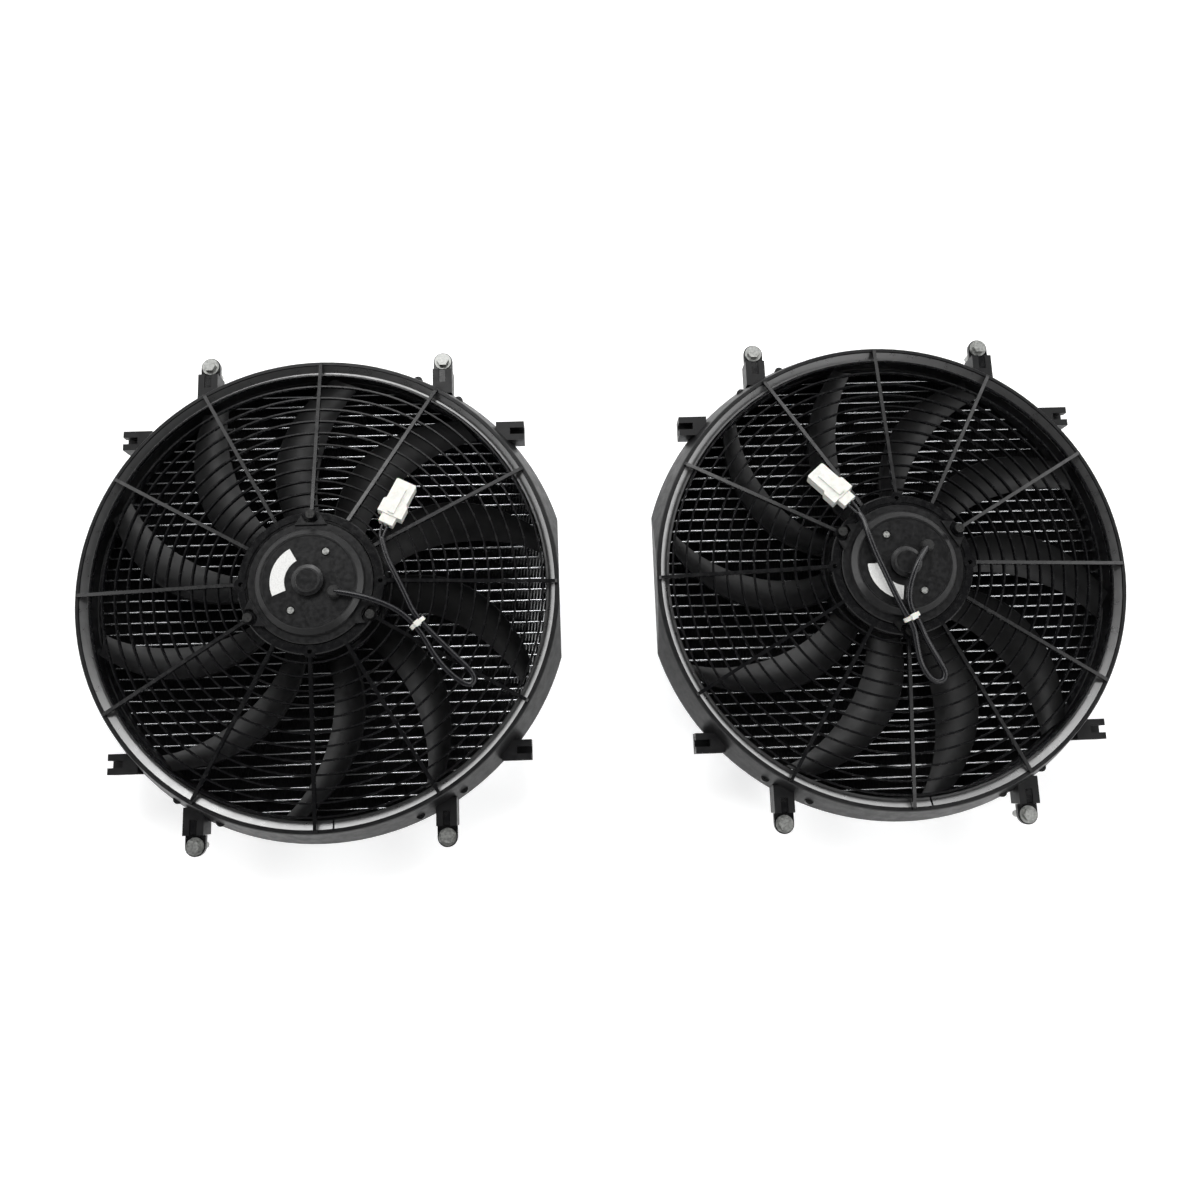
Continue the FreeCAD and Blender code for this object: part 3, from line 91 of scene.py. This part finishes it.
# %% Routes of the two leads
ROUTES = {
    "left": [
        (23.0, -10.6, 73.6),
        (40.5, -13.8, 74.0),
        (57.5, -19.0, 71.0),
        (71.5, -25.0, 67.0),
        (83.0, -33.3, 63.6),
        (94.6, -47.1, 60.6),
        (104.5, -66.0, 56.8),
        (118.0, -82.5, 53.0),
        (132.5, -92.5, 50.4),
        (138.5, -88.0, 50.2),
        (135.5, -79.5, 51.0),
        (121.5, -66.0, 54.2),
        (108.5, -52.5, 58.0),
        (99.4, -43.1, 61.0),
        (87.8, -29.3, 63.8),
        (80.5, -12.0, 66.2),
        (73.0, 4.0, 67.4),
        (66.2, 18.0, 67.6),
        (62.6, 30.5, 67.2),
        (60.6, 40.5, 66.4),
        (64.4, 48.6, 65.0),
    ],
    "right": [
        (18.6, 12.3, 73.6),
        (9.5, 1.5, 78.4),
        (2.6, -12.5, 78.4),
        (-1.2, -26.5, 75.4),
        (-1.2, -39.1, 73.6),
        (6.8, -55.1, 72.2),
        (13.5, -69.0, 67.6),
        (24.0, -85.5, 62.6),
        (30.0, -97.5, 60.4),
        (24.5, -104.5, 59.8),
        (15.0, -100.5, 60.6),
        (7.5, -87.5, 63.2),
        (3.6, -72.0, 68.8),
        (1.2, -57.9, 73.2),
        (-6.8, -41.9, 73.9),
        (-13.8, -26.0, 74.6),
        (-20.0, -9.0, 74.6),
        (-26.5, 8.0, 74.2),
        (-31.5, 26.0, 73.6),
        (-34.5, 45.0, 69.0),
        (-43.6, 55.4, 66.6),
    ],
}
SLEEVE_RADIUS = 2.5 * MM
SLEEVE_CRIMP = 0.4 * MM
WIRE_RADIUS = 1.15 * MM
WIRE_SPREAD = 2.4 * MM
SPREAD_POWER = 0.6
BARE_END = 12 * MM
WIRES_INSIDE = 4 * MM
SPLINE_STEPS = 10
SECTION_SIDES = 16


# %% Read points along a smooth route
def smooth_route(side):
    """Give the points of the route's spline in metres, in the frame of the part."""
    route = bpy.data.curves.new(side + "_route", "CURVE")
    route.dimensions = "3D"
    route.resolution_u = SPLINE_STEPS
    spline = route.splines.new("NURBS")
    spline.points.add(len(ROUTES[side]) - 1)
    for point, (x, y, z) in zip(spline.points, ROUTES[side]):
        point.co = (x * MM + FAN_X[side], y * MM, z * MM + CORE_DEPTH, 1)
    spline.order_u = 3
    spline.use_endpoint_u = True
    holder = bpy.data.objects.new(side + "_route", route)
    mesh = bpy.data.meshes.new_from_object(holder)
    points = [vertex.co.copy() for vertex in mesh.vertices]
    bpy.data.meshes.remove(mesh)
    bpy.data.objects.remove(holder)
    bpy.data.curves.remove(route)
    return points


# %% Carry a round section along some points
def add_tube(vertices, faces, points, radii, offsets):
    """Add a closed round tube; each point has its own radius and its own offset to the side."""
    ring = SECTION_SIDES
    first = len(vertices)
    for number, (point, radius, offset) in enumerate(zip(points, radii, offsets)):
        before = points[max(number - 1, 0)]
        after = points[min(number + 1, len(points) - 1)]
        along = (after - before).normalized()
        across = along.cross(Vector((0, 0, 1))).normalized()
        above = across.cross(along)
        for step in range(ring):
            angle = math.tau * step / ring
            reach = across * (offset + radius * math.cos(angle))
            vertices.append(point + reach + above * radius * math.sin(angle))
    for number in range(len(points) - 1):
        low = first + number * ring
        for step in range(ring):
            following = (step + 1) % ring
            faces.append((low + step, low + following, low + ring + following, low + ring + step))
    last = first + (len(points) - 1) * ring
    faces.append(tuple(first + step for step in reversed(range(ring))))
    faces.append(tuple(last + step for step in range(ring)))


# %% Sleeve with two wires that leave its end
def sleeved_lead(side, points):
    """Build the sleeve up to the bare end, and the two wires that run on from there to the plug."""
    left_over = [0.0]
    for after, before in zip(points[::-1], points[-2::-1]):
        left_over.insert(0, left_over[0] + (after - before).length)
    sleeve = [number for number, rest in enumerate(left_over) if rest > BARE_END]
    bare = [number for number, rest in enumerate(left_over) if rest < BARE_END + WIRES_INSIDE]
    vertices = []
    faces = []
    sleeve_points = [points[number] for number in sleeve]
    radii = [SLEEVE_RADIUS] * (len(sleeve) - 1) + [SLEEVE_RADIUS - SLEEVE_CRIMP]
    add_tube(vertices, faces, sleeve_points, radii, [0] * len(sleeve))
    wire_points = [points[number] for number in bare]
    for hand in (-1, 1):
        offsets = []
        for number in bare:
            part_way = min(max(1 - left_over[number] / BARE_END, 0), 1)
            spread = WIRE_RADIUS + (WIRE_SPREAD - WIRE_RADIUS) * part_way ** SPREAD_POWER
            offsets.append(hand * spread)
        add_tube(vertices, faces, wire_points, [WIRE_RADIUS] * len(bare), offsets)
    mesh = bpy.data.meshes.new(side + "_sleeved_lead")
    mesh.from_pydata(vertices, [], faces)
    lead = bpy.data.objects.new(side + "_sleeved_lead", mesh)
    bpy.context.scene.collection.objects.link(lead)
    return lead


# %% [markdown]
# An operator acts on whatever is selected, and the loaded nodes start out selected. So each step
# first clears the selection and then picks only the piece it works on.

# %% Pick one piece for the operators
def pick(piece):
    bpy.ops.object.select_all(action="DESELECT")
    piece.select_set(True)
    bpy.context.view_layer.objects.active = piece


for side in SIDES:
    path = smooth_route(side)
    lead = sleeved_lead(side, path)
    pick(lead)
    bpy.ops.object.mode_set(mode="EDIT")
    bpy.ops.mesh.select_all(action="SELECT")
    bpy.ops.mesh.normals_make_consistent(inside=False)
    bpy.ops.object.mode_set(mode="OBJECT")
    bpy.ops.object.shade_smooth_by_angle(angle=math.radians(40))
    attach(lead, "fan_units")
    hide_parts(side + "_motor_lead")

# %% [markdown]
# ## Lip of the bell mouth
# Air enters a fan's duct over a smooth polished lip, the brightest line on the shroud in the
# photograph. Its slope of about 23 degrees from level was chosen for that: the lip then mirrors
# the bright wall of the light tent to the camera, clear of the guard's outermost ring. The outline
# of a thin lip is drawn as a polygon beside the axis and spun round it, and the finished lip is
# moved to its fan. The mould's joint line leaves a notch in it, so the spin starts at one side of
# the notch and ends at the other.

# %% Sizes of the lip, its outline as distance from the axis and height above the core in mm
LIP_OUTLINE = [
    (208.7, 33.66),
    (203.1, 31.3),
    (201.45, 31.3),
    (201.45, 27.3),
    (203.2, 27.2),
    (207.8, 32.2),
]
JOINT_X = {"left": 13 * MM, "right": 15 * MM}
JOINT_HALF = 0.8 * MM
LIP_REACH = 205 * MM
LIP_STEPS = 240

# %% Spin the lips
for side in SIDES:
    notch = math.asin(JOINT_X[side] / LIP_REACH) - math.pi / 2
    notch_half = JOINT_HALF / LIP_REACH
    bpy.ops.object.select_all(action="DESELECT")
    bpy.ops.mesh.primitive_circle_add(vertices=len(LIP_OUTLINE), radius=MM, fill_type="NGON")
    lip = bpy.context.object
    lip.name = side + "_duct_lip"
    start = notch + notch_half
    for vertex, (reach, height) in zip(lip.data.vertices, LIP_OUTLINE):
        place = (math.cos(start) * reach, math.sin(start) * reach, height + CORE_DEPTH / MM)
        vertex.co = Vector(place) * MM
    bpy.ops.object.mode_set(mode="EDIT")
    bpy.ops.mesh.select_all(action="SELECT")
    turn = math.tau - 2 * notch_half
    bpy.ops.mesh.spin(steps=LIP_STEPS, angle=turn, center=(0, 0, 0), axis=(0, 0, 1))
    bpy.ops.mesh.select_all(action="SELECT")
    bpy.ops.mesh.normals_make_consistent(inside=False)
    bpy.ops.object.mode_set(mode="OBJECT")
    bpy.ops.object.shade_smooth_by_angle(angle=math.radians(20))
    lip.location.x = FAN_X[side]
    bpy.ops.object.transform_apply(location=True)
    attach(lip, "fan_units")
    print(lip.name, len(lip.data.polygons), "faces")

# %% [markdown]
# ## Fins
# Between two water tubes of a radiator lies a strip of thin aluminium, folded into a zigzag that
# touches both tubes at each fold. One strip starts as a grid standing on edge. Every second
# column of its points is moved across the gap, which folds it. The strip is then copied to each
# gap, cut to the round outline of the core, and given its thickness.

# %% Model one folded strip
FOLD = 1.45 * MM
FIN_THICK = 0.12 * MM
FIN_SETBACK = 1.2 * MM
columns = int(2 * CORE_FLAT / FOLD)
gap = TUBE_PITCH - TUBE_THICK - FIN_THICK
bpy.ops.object.select_all(action="DESELECT")
bpy.ops.mesh.primitive_grid_add(x_subdivisions=columns, y_subdivisions=1, size=1)
strip = bpy.context.object
strip.name = "fin_strip"
strip.scale = (columns * FOLD, CORE_DEPTH - 2 * FIN_SETBACK, 1)
bpy.ops.object.transform_apply(scale=True)
strip.rotation_euler = (math.radians(90), 0, 0)
bpy.ops.object.transform_apply(rotation=True)
edge_x = min(vertex.co.x for vertex in strip.data.vertices)
for vertex in strip.data.vertices:
    vertex.select = round((vertex.co.x - edge_x) / FOLD) % 2 == 0
for edge in strip.data.edges:
    edge.select = all(strip.data.vertices[index].select for index in edge.vertices)
for face in strip.data.polygons:
    face.select = False
bpy.ops.object.mode_set(mode="EDIT")
bpy.ops.mesh.select_mode(type="VERT")
bpy.ops.transform.translate(value=(0, gap, 0))
bpy.ops.object.mode_set(mode="OBJECT")
print("strip of", columns, "folds,", round(gap / MM, 2), "mm high")

# %% Copy the strip to every gap and cut it to the outline of the core
HALF_ROWS = 21
BAND_GAP = 0.3 * MM
for side in SIDES:
    copies = []
    for row in range(-HALF_ROWS, HALF_ROWS):
        copy = strip.copy()
        copy.data = strip.data.copy()
        bpy.context.scene.collection.objects.link(copy)
        copy.location = (0, (row + 0.5) * TUBE_PITCH - gap / 2, CORE_DEPTH / 2)
        copies.append(copy)
    bpy.ops.object.select_all(action="DESELECT")
    for copy in copies:
        copy.select_set(True)
    bpy.context.view_layer.objects.active = copies[0]
    bpy.ops.object.join()
    fins = copies[0]
    fins.name = side + "_folded_fins"
    bpy.ops.object.transform_apply(location=True)
    inside = CORE_RADIUS - BAND_WALL - BAND_GAP
    for face in fins.data.polygons:
        reach = max(fins.data.vertices[index].co.xy.length for index in face.vertices)
        face.select = reach > inside
    bpy.ops.object.mode_set(mode="EDIT")
    bpy.ops.mesh.select_mode(type="FACE")
    bpy.ops.mesh.delete(type="FACE")
    bpy.ops.object.mode_set(mode="OBJECT")
    thickness = fins.modifiers.new("Thickness", "SOLIDIFY")
    thickness.thickness = FIN_THICK
    thickness.offset = 0
    bpy.ops.object.modifier_apply(modifier=thickness.name)
    fins.location.x = FAN_X[side]
    bpy.ops.object.transform_apply(location=True)
    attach(fins, "fan_units")
    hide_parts(side + "_core_fins")
    print(fins.name, len(fins.data.polygons), "faces")
bpy.data.objects.remove(strip)

# %% [markdown]
# ## Finishes
# Every material here is procedural. Colours are written as the hex codes that a paint or plastic
# chart gives, and one function turns them into the linear values that a shader needs. A second
# small function adds a node with its settings and links, so that a recipe reads from top to
# bottom.

# %% Helpers for materials
def linear(hex_code):
    channels = [int(hex_code[start:start + 2], 16) / 255 for start in (1, 3, 5)]
    values = [c / 12.92 if c <= 0.04045 else ((c + 0.055) / 1.055) ** 2.4 for c in channels]
    return (*values, 1)


def add_node(tree, kind, inputs=None, links=None, **settings):
    node = tree.nodes.new(kind)
    for name, value in settings.items():
        setattr(node, name, value)
    for name, value in (inputs or {}).items():
        node.inputs[name].default_value = value
    for name, output in (links or {}).items():
        tree.links.new(output, node.inputs[name])
    return node


# %% Start a material on a piece's own coordinates
def new_material(name, colour, roughness, metallic=0.0, **inputs):
    """Give a material, its node tree, its shader and the object coordinates."""
    material = bpy.data.materials.new(name)
    material.use_nodes = True
    tree = material.node_tree
    shader = tree.nodes["Principled BSDF"]
    shader.inputs["Base Color"].default_value = linear(colour)
    shader.inputs["Roughness"].default_value = roughness
    shader.inputs["Metallic"].default_value = metallic
    for name, value in inputs.items():
        shader.inputs[name.replace("_", " ")].default_value = value
    place = add_node(tree, "ShaderNodeTexCoord").outputs["Object"]
    return material, tree, shader, place


# %% Vary a finish and roughen its surface
def mottle(tree, shader, place, size, low, high, rough_low, rough_high):
    """Vary colour between two hex codes, and roughness with it, in patches of a size in mm."""
    noise = add_node(
        tree,
        "ShaderNodeTexNoise",
        {"Scale": 1000 / size, "Detail": 3.0, "Roughness": 0.6},
        {"Vector": place},
    )
    colours = add_node(tree, "ShaderNodeValToRGB", links={"Fac": noise.outputs["Fac"]})
    colours.color_ramp.elements[0].position = 0.35
    colours.color_ramp.elements[0].color = linear(low)
    colours.color_ramp.elements[1].position = 0.65
    colours.color_ramp.elements[1].color = linear(high)
    tree.links.new(colours.outputs["Color"], shader.inputs["Base Color"])
    rough = add_node(
        tree,
        "ShaderNodeMapRange",
        {"From Min": 0.35, "From Max": 0.65, "To Min": rough_low, "To Max": rough_high},
        {"Value": noise.outputs["Fac"]},
    )
    tree.links.new(rough.outputs["Result"], shader.inputs["Roughness"])


def grain(tree, shader, place, size, depth, stretch=(1, 1, 1)):
    """Raise a fine grain with features of a size and depth in mm, drawn out along an axis."""
    mapping = add_node(tree, "ShaderNodeMapping", {"Scale": stretch}, {"Vector": place})
    noise = add_node(
        tree,
        "ShaderNodeTexNoise",
        {"Scale": 1000 / size, "Detail": 2.0, "Roughness": 0.5},
        {"Vector": mapping.outputs["Vector"]},
    )
    bump = add_node(
        tree,
        "ShaderNodeBump",
        {"Strength": 1.0, "Distance": depth * MM},
        {"Height": noise.outputs["Fac"]},
    )
    tree.links.new(bump.outputs["Normal"], shader.inputs["Normal"])


# %% [markdown]
# **Moulded plastics.** Shroud and guard are black nylon with short glass fibres. The mould's fine
# spark-eroded grain leaves a satin surface, and the fibres near the skin make the black a little
# uneven. The grain is really about 0.1 mm across and is drawn at 0.7 to 0.9 mm to show. The duct's
# lip comes from a polished part of the mould and shines much more, so it has a higher IOR and a
# clear coat. The rotor is moulded in softer, duller polypropylene.

# %% Moulded nylon and polypropylene
MATERIALS = {}
material, tree, shader, place = new_material(
    "black_glass_filled_nylon", "#0a0a0b", 0.24, Specular_IOR_Level=0.4
)
mottle(tree, shader, place, 6.0, "#08080a", "#0d0d0e", 0.2, 0.3)
grain(tree, shader, place, 0.7, 0.01)
MATERIALS["black_plastic"] = material

material, tree, shader, place = new_material(
    "satin_nylon_shroud", "#09090a", 0.44, Specular_IOR_Level=0.35
)
mottle(tree, shader, place, 8.0, "#08080a", "#0d0d0e", 0.38, 0.5)
grain(tree, shader, place, 0.9, 0.01)
MATERIALS["shroud_plastic"] = material

material, tree, shader, place = new_material(
    "polished_nylon_lip",
    "#0a0a0b",
    0.3,
    IOR=1.75,
    Specular_IOR_Level=1.0,
    Coat_Weight=1.0,
    Coat_Roughness=0.28,
)
mottle(tree, shader, place, 8.0, "#09090a", "#0e0e0f", 0.27, 0.33)
grain(tree, shader, place, 1.5, 0.004)
MATERIALS["polished_lip"] = material

material, tree, shader, place = new_material(
    "black_polypropylene_blades", "#0c0c0d", 0.38, Specular_IOR_Level=0.4
)
mottle(tree, shader, place, 9.0, "#0a0a0b", "#101011", 0.34, 0.44)
grain(tree, shader, place, 0.8, 0.015)
MATERIALS["blade_plastic"] = material

# %% [markdown]
# **Painted steel.** The motor's can and end cap are pressed steel with a black dipped paint. It
# dries with a faint orange peel, waves about 2 mm apart, and is a little less even than plastic.

# %% Black paint and blackened screws
material, tree, shader, place = new_material("black_dipped_paint", "#0d0d0e", 0.32)
mottle(tree, shader, place, 4.0, "#0a0a0b", "#111112", 0.28, 0.38)
grain(tree, shader, place, 2.0, 0.02)
MATERIALS["black_paint"] = material

material, tree, shader, place = new_material("blackened_steel", "#3a3a3a", 0.45, 0.9)
mottle(tree, shader, place, 1.5, "#2c2c2c", "#474746", 0.38, 0.55)
MATERIALS["dark_steel"] = material

# %% [markdown]
# **Zinc plate.** Bolts, washers and nuts are steel with a bright passivated zinc coat. It is a
# pale metal with slightly cloudy patches a few millimetres wide.

# %% Zinc plated, ground and laminated steel
material, tree, shader, place = new_material("zinc_plated_steel", "#a0a19f", 0.44, 1.0)
mottle(tree, shader, place, 2.2, "#8c8d8b", "#b4b5b2", 0.36, 0.52)
grain(tree, shader, place, 0.5, 0.01)
MATERIALS["zinc_steel"] = material

material, tree, shader, place = new_material("ground_bearing_steel", "#a9aaad", 0.22, 1.0)
mottle(tree, shader, place, 1.2, "#9c9da0", "#b6b7ba", 0.18, 0.3)
MATERIALS["bright_steel"] = material

material, tree, shader, place = new_material("electrical_steel_laminations", "#6e6f72", 0.5, 1.0)
mottle(tree, shader, place, 2.0, "#5c5d60", "#7d7e81", 0.42, 0.58)
grain(tree, shader, place, 30.0, 0.1, (1, 1, 60))
MATERIALS["laminated_steel"] = material

# %% [markdown]
# **Natural nylon.** Plug and cable tie are undyed nylon: milky white, faintly warm, with light
# going a little way in. Moulding leaves it almost smooth.

# %% Natural nylon and bare label
material, tree, shader, place = new_material(
    "natural_nylon", "#e0e0da", 0.38, Subsurface_Weight=0.15, Subsurface_Scale=0.001
)
mottle(tree, shader, place, 5.0, "#d9d9d2", "#e7e7e2", 0.34, 0.46)
grain(tree, shader, place, 0.6, 0.01)
MATERIALS["white_nylon"] = material

material, tree, shader, place = new_material("label_paper", "#dededc", 0.55)
mottle(tree, shader, place, 1.2, "#d6d6d4", "#e6e6e4", 0.5, 0.62)
MATERIALS["white_label"] = material

# %% [markdown]
# **Vinyl insulation.** The wires have smooth black vinyl, glossier than the mouldings. The grommet
# is moulded rubber, which stays matt.

# %% Wire insulation and rubber
material, tree, shader, place = new_material("black_vinyl_insulation", "#0f0f12", 0.26)
mottle(tree, shader, place, 3.0, "#0c0c0f", "#141418", 0.22, 0.32)
grain(tree, shader, place, 1.2, 0.01)
MATERIALS["black_wire"] = material

material, tree, shader, place = new_material("moulded_rubber", "#121212", 0.6)
mottle(tree, shader, place, 1.5, "#0f0f0f", "#181818", 0.55, 0.7)
grain(tree, shader, place, 0.5, 0.02)
MATERIALS["black_rubber"] = material

# %% [markdown]
# ** Core.** The flat tubes are bright extruded aluminium with a faint drawing grain along their
# length. The fins are coloured almost black as painted shade: the colour stands for the shade
# that fills the narrow gaps between the tubes, so they read almost black there.

# %% Tubes, band and fins
material, tree, shader, place = new_material("extruded_aluminium", "#e4e6e8", 0.24, 1.0)
mottle(tree, shader, place, 8.0, "#dddfe1", "#ebedef", 0.2, 0.28)
grain(tree, shader, place, 0.6, 0.01, (0.05, 1, 1))
MATERIALS["aluminium"] = material

# Painted shade: the fins' near-black colour stands for the shade deep between the tubes.
material, tree, shader, place = new_material("fin_stock_painted_shade", "#1c1c1d", 0.6, 0.4)
mottle(tree, shader, place, 5.0, "#161617", "#242425", 0.52, 0.7)
MATERIALS["dark_fin"] = material

# %% [markdown]
# **Inside the motor.** These pieces are hidden at rest, and still have their own finish: varnished
# copper coils, a turned copper commutator, grey ferrite, graphite and brown phenolic board.

# %% Motor internals and terminals
material, tree, shader, place = new_material("varnished_copper_coils", "#8a4a26", 0.35, 0.7)
mottle(tree, shader, place, 1.0, "#7a3f1f", "#9c5830", 0.28, 0.45)
grain(tree, shader, place, 0.9, 0.15, (1, 1, 0.1))
MATERIALS["copper_winding"] = material

material, tree, shader, place = new_material("turned_copper", "#b87348", 0.3, 1.0)
mottle(tree, shader, place, 2.0, "#a9663d", "#c58257", 0.24, 0.38)
MATERIALS["copper"] = material

material, tree, shader, place = new_material("sintered_ferrite", "#3b3b3d", 0.65)
mottle(tree, shader, place, 1.0, "#323234", "#454547", 0.58, 0.75)
MATERIALS["ferrite"] = material

material, tree, shader, place = new_material("pressed_graphite", "#2a2a2c", 0.55)
mottle(tree, shader, place, 0.8, "#222224", "#343437", 0.48, 0.65)
MATERIALS["carbon"] = material

material, tree, shader, place = new_material("phenolic_board", "#6b4a25", 0.5)
mottle(tree, shader, place, 1.5, "#5d3f1e", "#7a562d", 0.42, 0.6)
MATERIALS["board"] = material

material, tree, shader, place = new_material("stamped_brass", "#c2a45a", 0.3, 1.0)
mottle(tree, shader, place, 1.5, "#b5974e", "#cfb168", 0.24, 0.38)
MATERIALS["brass"] = material

# %% Give every piece its material
slot_of = {part["node"]: part["material_slot"] for part in frame["record"]["subparts"]}
for name, piece in nodes.items():
    slot = slot_of[name]
    if name.endswith("_fan_rotor"):
        slot = "blade_plastic"
    if name.endswith("_shroud"):
        slot = "shroud_plastic"
    piece.data.materials.clear()
    piece.data.materials.append(MATERIALS[slot])
for side in SIDES:
    bpy.data.objects[side + "_sleeved_lead"].data.materials.append(MATERIALS["black_wire"])
    bpy.data.objects[side + "_folded_fins"].data.materials.append(MATERIALS["dark_fin"])
    bpy.data.objects[side + "_duct_lip"].data.materials.append(MATERIALS["polished_lip"])
print(len(MATERIALS), "materials")

# %% [markdown]
# ## Floor and light
# The pieces lie on a white table, and their soft shadow stays on it. The table glows a little
# where the camera sees it, straight or mirrored, so that it looks white without lighting the
# pieces by itself.

# %% Floor
FLOOR_GLOW = 0.4
bpy.ops.object.select_all(action="DESELECT")
bpy.ops.mesh.primitive_plane_add(size=8, location=(0, 0, -0.0005))
floor = bpy.context.object
floor.name = "studio_floor"
material, tree, shader, place = new_material("white_table", "#f4f4f4", 0.9)
shader.inputs["Emission Color"].default_value = linear("#ffffff")
floor.data.materials.append(material)


# %% Arithmetic between two outputs
def combine(tree, kind, first, second):
    links = {0: first, 1: second}
    return add_node(tree, "ShaderNodeMath", links=links, operation=kind).outputs["Value"]


# %% Let the table glow for the camera, mirrors and glass
rays = add_node(tree, "ShaderNodeLightPath").outputs
seen = combine(tree, "ADD", rays["Is Camera Ray"], rays["Is Glossy Ray"])
seen = combine(tree, "ADD", seen, rays["Is Transmission Ray"])
glow = add_node(tree, "ShaderNodeMath", {1: FLOOR_GLOW}, {0: seen}, operation="MULTIPLY")
tree.links.new(glow.outputs["Value"], shader.inputs["Emission Strength"])

# %% [markdown]
# Gloss black shows little but reflections. The white wall of a light tent stands round the pair,
# open at the camera's side: from the table it is seen between about 30 and 45 degrees above the
# horizon. The duct's lips and other faces that lean that way shine, while level faces see the dim
# top and stay dark. The wall's edges are soft.

# %% Fade between two strengths
WALL_STRENGTH = 3.8


def fade(tree, source, start, end, at_start, at_end):
    """Pass smoothly from one strength to another between two values of a direction's part."""
    limits = {"From Min": start, "From Max": end, "To Min": at_start, "To Max": at_end}
    node = add_node(
        tree,
        "ShaderNodeMapRange",
        limits,
        {"Value": source},
        interpolation_type="SMOOTHSTEP",
    )
    return node.outputs["Result"]


# %% World with the tent's wall and a faint fill
world = bpy.data.worlds.new("Studio")
bpy.context.scene.world = world
world.use_nodes = True
tree = world.node_tree
direction = add_node(tree, "ShaderNodeTexCoord").outputs["Generated"]
parts = add_node(tree, "ShaderNodeSeparateXYZ", links={"Vector": direction}).outputs
foot = fade(tree, parts["Z"], 0.44, 0.54, 0, WALL_STRENGTH)
head = fade(tree, parts["Z"], 0.67, 0.74, 1, 0)
open_side = fade(tree, parts["Y"], -0.45, -0.25, 0, 1)
wall = combine(tree, "MULTIPLY", combine(tree, "MULTIPLY", foot, head), open_side)
fill = fade(tree, parts["Z"], 0.3, 0.7, 0.7, 0.1)
background = tree.nodes["Background"]
background.inputs["Color"].default_value = (1, 1, 1, 1)
tree.links.new(combine(tree, "ADD", wall, fill), background.inputs["Strength"])

# %% [markdown]
# Two soft lamps stand beside the table, a wide one beyond the pair and a square one at the lower
# right. They draw the soft shadows and the highlights on the motors.


# %% Lamps
def add_lamp(name, place, aim, size, power):
    lamp = bpy.data.lights.new(name, "AREA")
    lamp.shape = "RECTANGLE"
    lamp.size, lamp.size_y = size
    lamp.energy = power
    holder = bpy.data.objects.new(name, lamp)
    bpy.context.scene.collection.objects.link(holder)
    holder.location = place
    direction = Vector(aim) - Vector(place)
    holder.rotation_euler = direction.to_track_quat("-Z", "Y").to_euler()


add_lamp("top_softbox", (-0.2, 1.07, 1.68), (0, 0, 0), (1.2, 0.4), 11)
add_lamp("right_softbox", (0.95, -0.95, 1.5), (0, 0, 0), (0.8, 0.8), 6)
